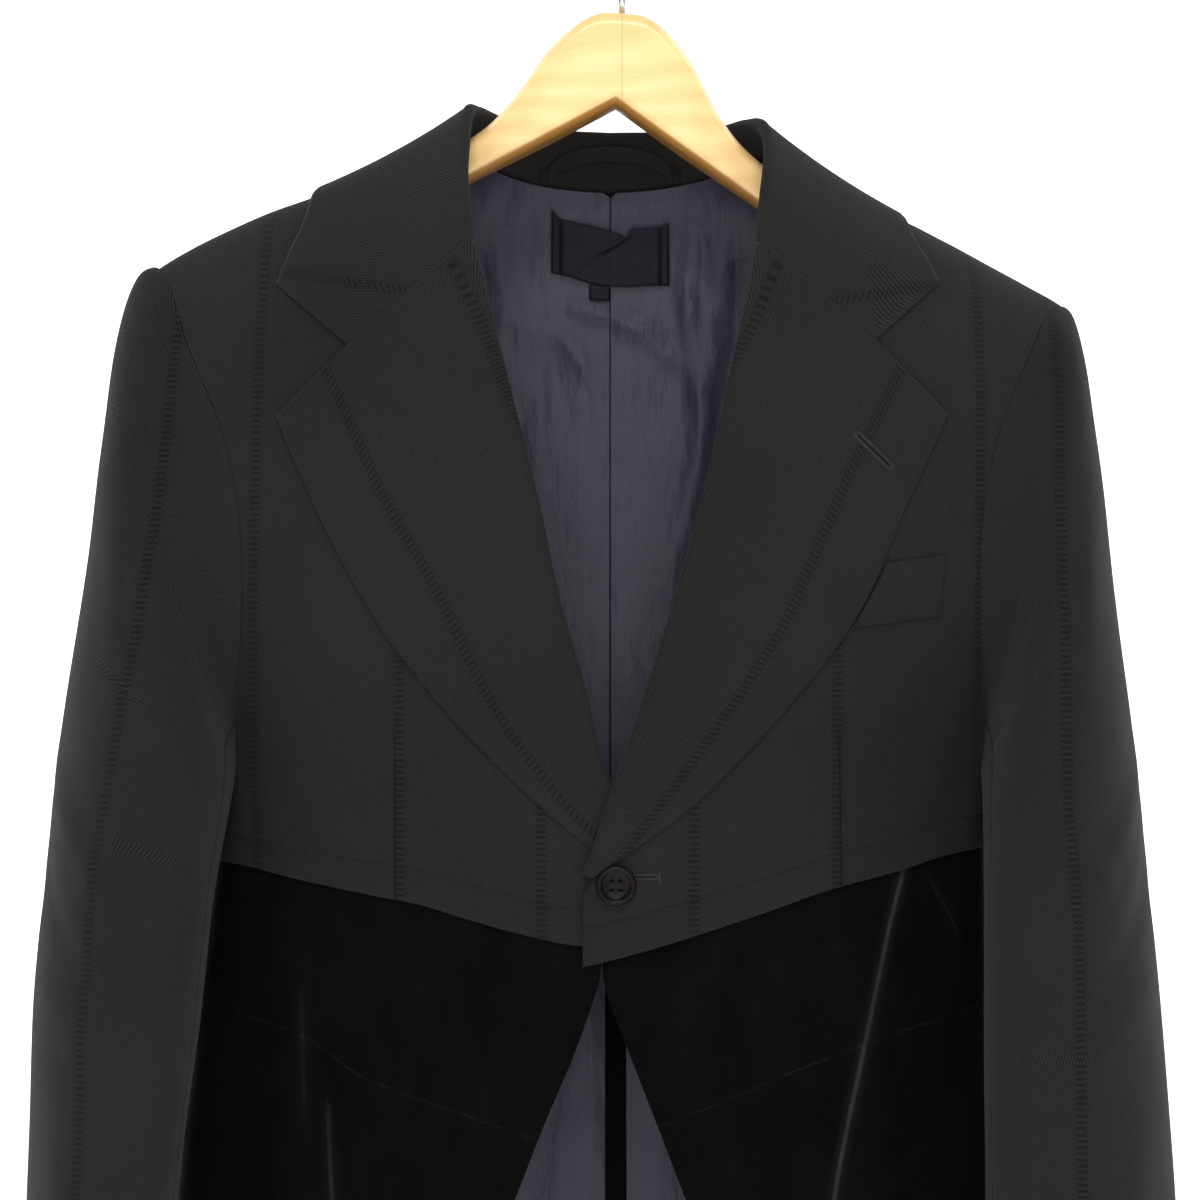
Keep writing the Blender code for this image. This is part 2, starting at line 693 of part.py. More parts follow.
def lapel_grid(sign, roll, edge, ends, lift_of):
    """Middle surface of a lapel: its roll, then the leaf laid on the front."""
    grid = []
    for i in range(LAPEL_ROWS + 1):
        s = i / LAPEL_ROWS
        z = mix(ends[1], ends[4], s)
        x = look_up(roll, z)
        dx, dz = roll_direction(roll, z, sign)
        line = []
        for first, last in zip(ROLL_TURNS, ROLL_TURNS_LOW):
            # near its lower end the roll opens and lies wholly over the front
            turn = mix(first, last, ease((s - 0.76) / 0.15))
            out = ROLL_RADIUS * math.cos(math.radians(turn))
            lift = ROLL_LIFT + ROLL_RADIUS * math.sin(math.radians(turn))
            px = x + dx * out
            pz = z + dz * out
            line.append(on_body(px, pz, -1, lift + lift_of(px, pz)))
        for j in range(LAPEL_COLS + 1):
            r = j / LAPEL_COLS
            px, pz = lapel_point(
                x, z, look_up(edge, s, 1), look_up(edge, s, 2), (ends[2], ends[3]), r, ease(s * 3.0)
            )
            lift = mix(ROLL_LIFT + ROLL_RADIUS, LAPEL_LIFT, ease(r / 0.4))
            line.append(on_body(px, pz, -1, lift + lift_of(px, pz)))
        grid.append(line)
    return grid


def no_lift(x, z):
    return 0.0


def build_lapels(wool):
    half = LAPEL / 2
    grid = lapel_grid(-1, ROLL_LEFT, LAPEL_EDGE_LEFT, LAPEL_ENDS[0], no_lift)
    wall("lapel_left", grid, half, -half, wool, 1.0)
    grid = lapel_grid(1, ROLL_RIGHT, LAPEL_EDGE_RIGHT, LAPEL_ENDS[1], lap_lift)
    wall("lapel_right", grid, half, -half, wool, -1.0)


def collar_line(share, sign):
    """One section of the collar: stand, roll and fall."""
    ends = LAPEL_ENDS[0] if sign < 0 else LAPEL_ENDS[1]
    foot = tuple(look_up(COLLAR_FOOT, share, c) for c in (1, 2, 3))
    foot = (sign * foot[0] + COLLAR_OFF * (1.0 - share), foot[1], foot[2])
    roll = tuple(look_up(COLLAR_ROLL, share, c) for c in (1, 2, 3))
    roll = (sign * roll[0] + collar_shift(share, sign), roll[1], roll[2])
    top = unit(tuple(look_up(COLLAR_LEAN, share, c) for c in (1, 2, 3)))
    out = tuple(look_up(COLLAR_LEAN, share, c) for c in (4, 5, 6))
    along = sum(p * q for p, q in zip(top, out))
    out = unit(shift(out, top, -along))
    top = (sign * top[0], top[1], top[2])
    out = (sign * out[0], out[1], out[2])
    middle = shift(roll, top, -ROLL_RADIUS)
    start = shift(middle, out, -ROLL_RADIUS)
    line = [mix(foot, start, k / 3) for k in range(3)]
    for turn in ROLL_TURNS:
        t = math.radians(turn)
        line.append(shift(shift(middle, top, ROLL_RADIUS * math.cos(t)), out, ROLL_RADIUS * math.sin(t)))
    begin = shift(middle, out, ROLL_RADIUS)
    leaf_x = sign * look_up(COLLAR_LEAF, share, 1) - 1.3 * (1.0 - share)
    leaf = over_shoulder(leaf_x, look_up(COLLAR_LEAF, share, 2), COLLAR_LIFT)
    chord = unit(sub(leaf, begin))
    rise = shift(top, out, 1.0)
    along = sum(p * q for p, q in zip(rise, chord))
    rise = unit(shift(rise, chord, -along))
    handle = shift(mix(begin, leaf, 0.5), rise, FALL_BULGE)
    for j in range(FALL_COLS + 1):
        r = j / FALL_COLS
        free = mix(mix(begin, handle, r), mix(handle, leaf, r), r)
        px, pz = lapel_point(
            begin[0], begin[2], leaf_x, leaf[2], (ends[2], ends[3]), r, ease(share / 0.12)
        )
        lift = mix(ROLL_LIFT + ROLL_RADIUS, COLLAR_LIFT, ease(r / 0.4))
        laid = on_body(px, pz, -1, lift) if share < 0.3 else free
        line.append(mix(laid, free, ease(share / 0.28)))
    if share < 0.3:
        line = [pull_to_body(p, look, share) for p, look in zip(line, collar_laid(share, sign, ends))]
    return line


def collar_shift(share, sign):
    """How far the collar's roll stands to the right of its table's place."""
    spread = math.sin(math.pi * min(max(share - 0.1, 0.0) / 0.5, 1.0)) ** 2
    return COLLAR_OFF * (1.0 - share) + (COLLAR_SPREAD * spread if sign > 0 else 0.0)


def collar_laid(share, sign, ends):
    """The stand and roll of the collar as the lapel has them, for its front end."""
    x = sign * look_up(COLLAR_ROLL, share, 1) + collar_shift(share, sign)
    z = look_up(COLLAR_ROLL, share, 3)
    roll = ROLL_LEFT if sign < 0 else ROLL_RIGHT
    dx, dz = roll_direction(roll, min(z, -180.0), sign)
    line = []
    for k in range(3):
        out = -1.5 + 0.5 * k
        line.append(on_body(x + dx * out, z + dz * out, -1, ROLL_LIFT - ROLL_RADIUS))
    for turn in ROLL_TURNS:
        out = ROLL_RADIUS * math.cos(math.radians(turn))
        lift = ROLL_LIFT + ROLL_RADIUS * math.sin(math.radians(turn))
        line.append(on_body(x + dx * out, z + dz * out, -1, lift))
    return line + [None] * (FALL_COLS + 1)


def pull_to_body(point, laid, share):
    """Blend a collar point with its place on the body, near the gorge only."""
    if laid is None:
        return point
    return mix(laid, point, ease(share / 0.2))


def build_collar(wool):
    grid = [collar_line(share, -1) for share in COLLAR_SHARES]
    grid += [collar_line(share, 1) for share in reversed(COLLAR_SHARES[:-1])]
    half = COLLAR_WALL / 2
    # the ends stand a little off the lapels' gorge
    for row, way in ((grid[0], 1), (grid[-1], 1)):
        for j in range(len(row)):
            row[j] = (row[j][0], row[j][1], row[j][2] + SEAM_GAP * way)
    wall("collar", grid, half, -half, wool, -1.0)


def armhole_point(sign, turn):
    """Point of the armhole seam; the turn runs from the shoulder over the front."""
    c = math.cos(turn)
    s = math.sin(turn)
    middle = (SHOULDER_Z + UNDERARM_Z) / 2
    z = middle + (SHOULDER_Z - UNDERARM_Z) / 2 * c
    side = -1 if s >= 0 else 1
    x = sign * look_up(ARMHOLE, z, 1 if side < 0 else 2)
    return (x + sign * ARMHOLE_GAP, side * depth_at(x, z, side), z)


def sleeve_point(sign, row, turn):
    """Point of a sleeve's outer face on one ring of its table."""
    out_x, out_z, in_x, in_z, mid_y, half_y, own = row
    c = signed_power(math.cos(turn), 2.0 / SLEEVE_POWER)
    s = signed_power(math.sin(turn), 2.0 / SLEEVE_POWER)
    half_x = (out_x - in_x) / 2
    lean = SLEEVE_SKEW * 2.0 * half_x / math.hypot(out_x - in_x, out_z - in_z)
    narrow = math.sqrt(1.0 - (lean / half_x) ** 2)
    x = (out_x + in_x) / 2 + half_x * narrow * c - lean * s
    z = (out_z + in_z) / 2 + (out_z - in_z) / 2 * c
    tube_point = (x, mid_y - half_y * s, z)
    if own >= 1.0:
        return tube_point
    return mix(armhole_point(sign, turn), tube_point, own)


def sleeve_turns():
    """Turns of the upper piece and of the under piece, with a seam gap between them."""
    front = SLEEVE_SEAM_FRONT
    back = SLEEVE_SEAM_BACK
    upper = [math.radians(mix(back, front, j / (UPPER_COLS - 1))) for j in range(UPPER_COLS)]
    under = [math.radians(mix(front, back + 360.0, j / (UNDER_COLS - 1))) for j in range(UNDER_COLS)]
    return upper, under


def close_gap(grid, gap):
    """Draw both long edges of a strip in by half a seam gap."""
    for line in grid:
        first = unit(sub(line[1], line[0]))
        last = unit(sub(line[-2], line[-1]))
        line[0] = shift(line[0], first, gap / 2)
        line[-1] = shift(line[-1], last, gap / 2)


def build_sleeves(wool):
    upper, under = sleeve_turns()
    for sign, rows, name in ((-1, SLEEVE_LEFT, "sleeve_left"), (1, SLEEVE_RIGHT, "sleeve_right")):
        turns = upper[:-1] + under[:-1]
        ring = [[sleeve_point(sign, row, t) for t in turns] for row in rows]
        normals = grid_normals(ring, float(sign), True)
        cut = UPPER_COLS - 1
        count = len(turns)
        pieces = (("_upper", range(0, cut + 1)), ("_under", range(cut, count + 1)))
        for tail, columns in pieces:
            grid = [[line[j % count] for j in columns] for line in ring]
            faces_out = [[line[j % count] for j in columns] for line in normals]
            close_gap(grid, SLEEVE_SEAM_GAP)
            wall(name + tail, grid, 0.0, -SLEEVE_WALL, wool, float(sign), faces_out)


def build_velvets(velvet):
    outer = -VELVET_LIFT_FRONT
    for sign, name, low in ((-1, "velvet_front_left", hem_left), (1, "velvet_front_right", hem_right)):
        column = 1 if sign < 0 else 2
        edge = lambda z, c=column: look_up(CUTAWAY, z, c)
        grid = skirt_grid(sign, low, edge, -1, SKIRT_FRONT_COLS, SKIRT_HEM_Z)
        wall(name, grid, outer, outer - VELVET, velvet, float(-sign), body_normals(grid, -1))
    outer = -VELVET_LIFT_BACK
    for sign, name in ((-1, "velvet_back_left"), (1, "velvet_back_right")):
        grid = skirt_grid(sign, hem_back, vent_edge(sign), 1, BACK_COLS, SKIRT_HEM_Z)
        wall(name, grid, outer, outer - VELVET, velvet, float(-sign), body_normals(grid, 1))


def vent_edge(sign):
    """Inner edge of a back skirt: the centre seam, then the open vent."""
    def edge(z):
        return sign * mix(SEAM_GAP / 2, 2 * SEAM_GAP, ease((VENT_TOP_Z - z) / 30.0))
    return edge


def lining_lift(x, z):
    return -LINING_LIFT_TOP if z > LINING_STEP_Z else -LINING_LIFT_SKIRT


def build_linings(satin, velvet):
    halves = []
    for sign, name in ((-1, "lining_left"), (1, "lining_right")):
        above = back_grid(sign)
        below = skirt_grid(sign, hem_back, vent_edge(sign), 1, BACK_COLS, LINING_HEM_Z)
        grid = [above[k] for k in LINING_BACK_ROWS] + below[:2] + below[3:-1:2] + below[-1:]
        outer = lifts(grid, lining_lift, 0.0)
        inner = lifts(grid, lining_lift, -LINING)
        wall(name, grid, outer, inner, satin, float(-sign), body_normals(grid, 1))
        halves.append(grid)
    # the strip lies on the first cells of both halves
    grid = []
    for left, right in zip(halves[0], halves[1]):
        if left[0][2] > VENT_TOP_Z + VENT_ABOVE:
            continue
        line = [mix(left[0], left[1], VENT_LEFT_X / left[1][0])]
        line.append(mix(left[0], right[0], 0.5))
        line.append(mix(right[0], right[1], VENT_RIGHT_X / right[1][0]))
        grid.append(line)
    lift = -(LINING_LIFT_SKIRT + LINING + LAID_GAP)
    wall("vent_facing", grid, lift, lift - VENT_THICK, velvet, -1.0, body_normals(grid, 1))


def back_patch(name, x_low, x_high, z_high, z_low, cols, lift, thick, mat):
    """Small cloth patch on the inner face of the back."""
    grid = []
    for i in range(3):
        z = mix(z_high, z_low, i / 2)
        line = []
        for j in range(cols):
            x = mix(x_low, x_high, j / (cols - 1))
            line.append((x, depth_at(x, z, 1), z))
        grid.append(line)
    wall(name, grid, -lift, -lift - thick, mat, -1.0, body_normals(grid, 1))


def build_labels(label, wool):
    lift = LINING_LIFT_TOP + LINING + LAID_GAP
    back_patch(
        "neck_label", -LABEL_HALF, LABEL_HALF, LABEL_TOP_Z, LABEL_BOTTOM_Z, 7, lift, LABEL_THICK, label
    )
    back_patch(
        "size_tab", TAB_X - TAB_HALF, TAB_X + TAB_HALF, LABEL_BOTTOM_Z - SEAM_GAP, TAB_BOTTOM_Z, 3,
        lift, LABEL_THICK, label
    )
    steps = 12
    grid = [[], []]
    for j in range(steps + 1):
        u = 2.0 * j / steps - 1.0
        x = LOOP_HALF * u
        y = LOOP_Y - LOOP_END_IN * u * u
        z = LOOP_END_Z + LOOP_RISE * (1.0 - u * u) - 0.6 * LOOP_RISE * u ** 8
        grid[0].append((x, y, z + LOOP_WIDTH / 2))
        grid[1].append((x, y, z - LOOP_WIDTH / 2))
    flat = [[(0.0, 1.0, 0.0)] * (steps + 1) for _ in range(2)]
    wall("hanger_loop", grid, 0.0, -LOOP_THICK, wool, -1.0, flat)


def build_welt(wool):
    grid = []
    for i in range(3):
        line = []
        for j in range(5):
            u = j / 4
            x, z = mix(mix(WELT[0], WELT[1], u), mix(WELT[2], WELT[3], u), i / 2)
            line.append((x, -depth_at(x, z, -1), z))
        grid.append(line)
    wall("chest_welt", grid, 0.4 + WELT_THICK, 0.4, wool, -1.0, body_normals(grid, -1))


def build_button(horn, thread):
    base = (BUTTON_X, -depth_at(BUTTON_X, BUTTON_Z, -1), BUTTON_Z)
    axis = body_normal(base, -1)
    across = unit(cross((0.0, 0.0, 1.0), axis))
    up = cross(axis, across)

    def place(radius, turn, lift):
        p = shift(base, axis, lift)
        return shift(shift(p, across, radius * math.cos(turn)), up, radius * math.sin(turn))

    def ring(radius, lift, sides):
        return [place(radius, 2 * math.pi * k / sides, lift) for k in range(sides)]

    rings = [ring(max(r, 0.5), BUTTON_LIFT + h, BUTTON_SIDES) for r, h in BUTTON_PROFILE]
    button = tube("button", rings, horn)
    for k in range(4):
        turn = math.pi / 4 + k * math.pi / 2
        spot = place(BUTTON_HOLE_SPREAD * math.sqrt(2.0), turn, 0.0)
        low = BUTTON_LIFT - 1.0
        high = BUTTON_LIFT + 4.0
        rings = []
        for lift in (low, high):
            middle = shift(spot, axis, lift)
            rings.append([
                shift(shift(middle, across, BUTTON_HOLE_RADIUS * math.cos(a)), up,
                      BUTTON_HOLE_RADIUS * math.sin(a))
                for a in [2 * math.pi * n / 8 for n in range(8)]
            ])
        cutter = tube("cut_hole_%d" % k, rings, horn)
        cutter.hide_render = True
        cutter.display_type = "WIRE"
        cut = button.modifiers.new("hole_%d" % k, "BOOLEAN")
        cut.operation = "DIFFERENCE"
        cut.solver = "EXACT"
        cut.object = cutter
    tube("button_thread", [ring(THREAD_RADIUS, 2.4 + SEAM_GAP, 10), ring(THREAD_RADIUS, BUTTON_LIFT - SEAM_GAP, 10)],
         thread)


def hanger_ring(x, high, low, thick):
    """Rounded section of the wood at one place along it, before it leans."""
    half = thick / 2
    r = min(HANGER_CORNER, half * 0.9, (high - low) * 0.45)
    corners = ((1, 1), (-1, 1), (-1, -1), (1, -1))
    points = []
    for n, (sy, sz) in enumerate(corners):
        cy = sy * (half - r)
        cz = (high - r) if sz > 0 else (low + r)
        for k in range(3):
            a = math.radians(90.0 * n + 45.0 * k)
            points.append((x, cy + r * math.cos(a), cz + r * math.sin(a)))
    lean = mix(HANGER_LEAN, HANGER_LEAN_ENDS, ease((abs(x) - 67.0) / 60.0))
    turn_c = math.cos(lean)
    turn_s = math.sin(lean)
    return [
        (px * turn_c + pz * turn_s + HANGER_TOP[0], py, -px * turn_s + pz * turn_c + HANGER_TOP[1])
        for px, py, pz in points
    ]


def build_hanger(wood, steel):
    rings = []
    for x, high, low, thick in reversed(HANGER_PROFILE[1:]):
        rings.append(hanger_ring(-x, high, low, thick))
    for x, high, low, thick in HANGER_PROFILE:
        rings.append(hanger_ring(x, high, low, thick))
    tube("hanger_wood", [list(reversed(ring)) for ring in rings], wood)
    path = list(HOOK_SHAFT)
    radius = HOOK_RADIUS + HOOK_WIRE
    for k in range(HOOK_STEPS + 1):
        a = math.radians(mix(HOOK_TURNS[0], HOOK_TURNS[1], k / HOOK_STEPS))
        path.append((radius * math.cos(a), -HOOK_RADIUS + radius * math.sin(a)))
    rings = []
    for k, (x, z) in enumerate(path):
        ahead = path[min(k + 1, len(path) - 1)]
        behind = path[max(k - 1, 0)]
        tx, ty, tz = unit((ahead[0] - behind[0], 0.0, ahead[1] - behind[1]))
        ring = []
        for n in range(HOOK_SIDES):
            a = 2 * math.pi * n / HOOK_SIDES
            side = HOOK_WIRE * math.cos(a)
            ring.append((x - tz * side, HOOK_WIRE * math.sin(a), z + tx * side))
        rings.append(ring)
    tube("hanger_hook", rings, steel)


def main():
    for obj in list(bpy.data.objects):
        bpy.data.objects.remove(obj)
    wool = make_material("wool", (0.022, 0.022, 0.023), 0.85)
    velvet = make_material("velvet", (0.008, 0.008, 0.009), 0.95)
    satin = make_material("satin", (0.045, 0.036, 0.062), 0.38)
    label = make_material("label", (0.012, 0.013, 0.020), 0.5)
    horn = make_material("horn", (0.016, 0.014, 0.013), 0.3)
    wood = make_material("wood", (0.78, 0.56, 0.27), 0.4)
    steel = make_material("steel", (0.62, 0.62, 0.64), 0.25, 1.0)
    build_fronts(wool)
    build_backs(wool)
    build_lapels(wool)
    build_collar(wool)
    build_sleeves(wool)
    build_velvets(velvet)
    build_linings(satin, velvet)
    build_labels(label, wool)
    build_welt(wool)
    build_button(horn, wool)
    build_hanger(wood, steel)


main()
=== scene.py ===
# The long jacket on its hanger: the looks of the part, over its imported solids.
# Sizes are in millimetres here and turned into metres when a mesh is made.
# X is the viewer's right, Z is up, the front of the jacket faces -Y.

import bpy
import math
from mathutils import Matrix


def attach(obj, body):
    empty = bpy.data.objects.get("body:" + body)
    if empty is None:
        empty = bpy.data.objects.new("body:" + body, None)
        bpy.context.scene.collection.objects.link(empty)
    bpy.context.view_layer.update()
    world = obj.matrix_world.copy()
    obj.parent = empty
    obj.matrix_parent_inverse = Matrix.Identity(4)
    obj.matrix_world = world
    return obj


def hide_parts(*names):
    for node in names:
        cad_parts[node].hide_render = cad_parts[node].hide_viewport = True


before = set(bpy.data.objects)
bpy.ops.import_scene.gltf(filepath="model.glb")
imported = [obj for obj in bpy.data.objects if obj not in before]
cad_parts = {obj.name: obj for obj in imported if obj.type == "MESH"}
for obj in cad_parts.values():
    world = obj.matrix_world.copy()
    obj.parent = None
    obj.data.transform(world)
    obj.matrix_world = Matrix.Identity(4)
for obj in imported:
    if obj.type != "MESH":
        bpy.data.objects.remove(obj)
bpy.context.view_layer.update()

MM = 0.001
SEAM_GAP = 0.3
# how near the cloth comes to the middle planes at its seams
CLOSED = 0.02
SIDES = ((-1, "left"), (1, "right"))
# all four edges of a piece of cloth
ALL_SIDES = (True, True, True, True)

# cloth thicknesses
WOOL = 1.6
VELVET = 1.8
LINING = 1.0
LAPEL = 2.2
SLEEVE_WALL = 1.8

# the body is a flattened tube; this is the power of its rounded section
BODY_POWER = 2.6
# the tops of the shoulders round over within this height
CAP_HEIGHT = 95.0
# no edge of the body lies further from the middle than this
BODY_REACH = 260.0
NECK_X = 82.0
NECK_RISE = 18.0
UNDERARM_Z = -438.0
SHOULDER_Z = -209.0
BACK_NECK_Z = -157.0
BACK_HEM_Z = -490.0
SKIRT_HEM_Z = -1130.0
VELVET_OVERLAP = 22.0
VENT_TOP_Z = -576.0
FLUTE_DEPTH = 6.0
FLUTE_COUNT = 5.0
FLUTE_TOP_Z = -560.0
FLUTE_SPAN = 570.0
# where the right front stands out over the left one: how far, from which x and z, and the spans
LAP_LIFT = 2.4
LAP_X = 52.0
LAP_X_SPAN = 34.0
LAP_Z = -395.0
LAP_Z_SPAN = 48.0
# a front's distance from the roll, and what it gains up at the gorge
NECK_ROOM = 1.9
NECK_ROOM_MORE = 1.8

# the left shoulder hangs higher than the right one: x, rise of the cloth
TILT = [
    (-250, 11.7), (-144, 6.8), (0, 0.0), (147, -8.0), (165, -10.6), (185, -12.4),
    (205, -12.8), (223, -11.6), (250, -12.0),
]
TILT_FADE = 58.0

# turns over the shoulder at which a panel has a row of points, in degrees
CAP_TURNS = [90.0, 74.0, 60.0, 45.0, 31.0, 20.2, 9.0]
# steps from each of these rows to the next
CAP_STEPS = 4
FRONT_ROWS = 76
FRONT_COLS = 61
BACK_ROWS = 80
BACK_COLS = 56

# height of the shoulder line over the half width: x, z
SHOULDER_LINE = [
    (0, -95), (40, -112), (60, -126), (82, -139), (112, -155), (144, -169.5),
    (168, -179), (187, -188), (206, -198), (223.4, -209), (245, -226),
]

# half depth of the front and of the back over height: z, front, back
DEPTH = [
    (-1130, 82, 88), (-900, 73, 78), (-700, 64, 67), (-560, 60, 59), (-500, 60, 57),
    (-430, 64, 60), (-330, 66, 63), (-250, 64, 62), (-200, 60, 60), (-150, 57, 57),
]

# half width of the section over height: z, width on the left, width on the right
WIDTH = [
    (-1130, 233, 226), (-1000, 228, 216), (-900, 224, 207), (-800, 220, 199), (-720, 216, 195),
    (-640, 211.5, 192), (-560, 205, 188.5), (-520, 199, 186.5), (-480, 191.5, 184.5), (-460, 187.5, 183),
    (-438, 182.2, 182.2), (-415, 188, 188), (-390, 203, 203), (-362, 222, 222),
    (-342, 232, 232), (-300, 242, 242), (-200, 250, 250),
]

# armhole seam over height: z, x at the front, x at the back
ARMHOLE = [
    (-438, 182.2, 182.2), (-430, 182.0, 182.6), (-415, 181.0, 183.5), (-390, 178.5, 184.5),
    (-362, 177.0, 185.5), (-342, 177.0, 186.5), (-318, 178.5, 188.0), (-286, 185.0, 192.5),
    (-266, 192.5, 197.0), (-241, 204.0, 206.0), (-219, 213.5, 214.5), (-209, 223.4, 223.4),
]

# roll line of each lapel over height: z, x
ROLL_LEFT = [
    (-452, -4.4), (-444.8, -6.0), (-411.5, -13.6), (-364, -27.0), (-316.5, -37.2),
    (-269, -49.2), (-221.5, -61.0), (-192, -68.3), (-165, -72.0), (-139, -82.0),
]
ROLL_RIGHT = [
    (-486, -5.0), (-470, -2.0), (-454, 3.6), (-411.5, 18.0), (-364, 32.8), (-316.5, 46.0),
    (-269, 56.4), (-221.5, 67.0), (-192, 72.4), (-165, 74.0), (-139, 82.0),
]
ROLLS = {-1: ROLL_LEFT, 1: ROLL_RIGHT}

# inner edge of each front below its roll: the roll's end, its own place there, way of the change
FRONT_EDGES = {-1: (-452.0, 17.0, 22.0), 1: (-486.0, -13.4, 20.0)}

# heights of each lapel's gorge and of its foot, and the notch's corner as x and z
LAPEL_ENDS = {-1: (-193.5, -461.5), 1: (-194.5, -494.5)}
NOTCH = {-1: (-124.9, -242.8), 1: (125.4, -240.5)}

# outer edge of each lapel from the tip down: share of the length, x, z
LAPEL_EDGE_LEFT = [
    (0.00, -159.1, -276.1), (0.10, -150.5, -297.0), (0.22, -138.5, -323.5),
    (0.36, -122.0, -355.0), (0.50, -104.5, -383.5), (0.64, -83.0, -411.0),
    (0.78, -58.5, -437.5), (0.90, -33.5, -461.5), (1.00, -3.5, -487.6),
]
LAPEL_EDGE_RIGHT = [
    (0.00, 160.0, -275.4), (0.10, 149.8, -298.5), (0.22, 138.0, -323.5),
    (0.36, 123.5, -358.5), (0.50, 106.5, -386.5), (0.64, 86.0, -412.0),
    (0.78, 62.5, -438.0), (0.90, 34.5, -464.5), (1.00, -9.6, -496.0),
]
LAPEL_ROWS = 112
LAPEL_COLS = 49
NOTCH_COL = 28
# radius of the roll and how high the lapel's middle lies over the front
ROLL_RADIUS = 2.1
ROLL_LIFT = 1.3
LAPEL_LIFT = 1.9
ROLL_TURNS = [-90.0, -45.0, 0.0, 45.0]
ROLL_TURNS_LOW = [0.0, 18.0, 36.0, 60.0]
ROLL_STEPS = 3
# shares of the leaf within which it comes down from the roll, and of the lapel's length at which
# the roll starts to open and the left foot to go under the right front, each with its span
ROLL_FADE = 0.4
ROLL_OPENS = (0.76, 0.15)
FOOT_UNDER = (0.915, 0.06)

# collar from the gorge to the centre back, half of it: share, roll x, y, z
COLLAR_ROLL = [
    (0.00, 70.3, -56.0, -192.0), (0.12, 71.2, -45.7, -169.0), (0.26, 71.4, -30.5, -147.0),
    (0.42, 71.0, -7.0, -125.5), (0.56, 67.0, 16.0, -121.0), (0.72, 53.0, 38.0, -122.5),
    (0.86, 28.0, 50.5, -124.5), (1.00, 0.0, 54.5, -125.0),
]
# lower edge of the stand, where it meets the body: share, x, y, z
COLLAR_FOOT = [
    (0.00, 71.8, -53.8, -192.0), (0.12, 74.0, -44.2, -171.2), (0.26, 76.6, -31.0, -155.0),
    (0.42, 80.0, -3.0, -139.5), (0.56, 74.0, 21.0, -141.6), (0.72, 54.5, 37.6, -148.2),
    (0.86, 29.0, 48.0, -153.4), (1.00, 0.0, 52.0, -155.3),
]
# directions of the roll: share, then where its edge points x, y, z, then the outer side x, y, z
COLLAR_LEAN = [
    (0.00, -0.97, 0.0, 0.22, 0.10, -0.98, 0.10), (0.12, -0.90, 0.10, 0.42, 0.25, -0.92, 0.30),
    (0.26, -0.68, 0.10, 0.72, 0.55, -0.70, 0.40), (0.42, -0.25, 0.00, 0.97, 0.95, -0.20, 0.20),
    (0.56, -0.12, -0.08, 0.98, 0.85, 0.50, 0.12), (0.72, -0.05, -0.08, 0.99, 0.52, 0.85, 0.08),
    (0.86, 0.00, -0.06, 1.00, 0.25, 0.96, 0.06), (1.00, 0.00, -0.05, 1.00, 0.00, 1.00, 0.05),
]
# outer edge of the fall: share, x, turn over the shoulder in degrees (front is negative)
COLLAR_LEAF = [
    (0.00, 158.7, -53.4), (0.12, 153.5, -43.6), (0.26, 147.0, -30.7), (0.42, 141.5, 0.0),
    (0.56, 128.0, 32.3), (0.72, 94.0, 51.9), (0.86, 50.0, 67.7), (1.00, 0.0, 80.9),
]
COLLAR_SHARES = [0.0, 0.06, 0.12, 0.19, 0.26, 0.34, 0.42, 0.49, 0.57, 0.65, 0.74, 0.82, 0.91, 1.0]
COLLAR_STEPS = 6
# up to this share of its half length the collar is laid on the front
COLLAR_LAID = 0.3
COLLAR_WALL = 2.2
COLLAR_LIFT = 2.3
FALL_COLS = 42
STAND_STEPS = 9
FALL_BULGE = -3.2
# the collar's front ends stand off to the right; its right roll is further out at its middle
COLLAR_OFF = 2.0
COLLAR_SPREAD = 3.6

# lower edge of the wool: x, z, for the left front and for the right front
HEM_LEFT = [
    (-186, -491.5), (-167, -494.5), (-145, -499), (-117, -504.5), (-90, -509.5), (-72, -515),
    (-45, -522.5), (-16, -528.4), (20, -530),
]
HEM_RIGHT = [
    (-14, -538.3), (-5, -536.4), (31, -526.5), (67.5, -515), (104, -502.5), (140, -493.5),
    (158, -488), (184, -484),
]

# cut-away front edge of each velvet skirt over height: z, x left, x right
CUTAWAY = [
    (-1130, -218, 212), (-1050, -200, 196), (-1000, -182, 178), (-900, -144, 138),
    (-800, -105, 97), (-720, -74.5, 65.0), (-649, -45.6, 35.7), (-615, -32.3, 22.5),
    (-582, -18.2, 9.6), (-556, -8.8, -0.4), (-542, -4.9, -4.0), (-500, -4.7, -4.0),
]

# sleeves: outer x, outer z, inner x, inner z, centre y, half depth, share of the tube's own form
SLEEVE_LEFT = [
    (-225.5, -207.0, -182.8, -438.8, 0, 46, 0.0), (-232.5, -208.5, -183.4, -440.0, 0, 50, 0.35),
    (-239.5, -218.0, -183.6, -441.5, -1, 56, 0.7), (-245.5, -246.0, -183.4, -443.0, -4, 61, 0.95),
    (-250.5, -290.0, -183.0, -445.0, -9, 66, 1.0), (-255.0, -334.0, -182.6, -448.0, -15, 69, 1.0),
    (-261.8, -384.0, -182.6, -456.0, -24, 70, 1.0), (-267.8, -434.0, -184.6, -476.0, -36, 68, 1.0),
    (-272.0, -492.0, -188.6, -508.0, -50, 64, 1.0), (-275.6, -552.0, -192.2, -556.0, -62, 61, 1.0),
    (-276.2, -610.0, -198.7, -612.0, -70, 58, 1.0), (-277.2, -665.0, -203.0, -666.0, -75, 55, 1.0),
    (-278.0, -735.0, -205.0, -735.0, -80, 51, 1.0), (-277.5, -805.0, -205.0, -804.0, -84, 47, 1.0),
]
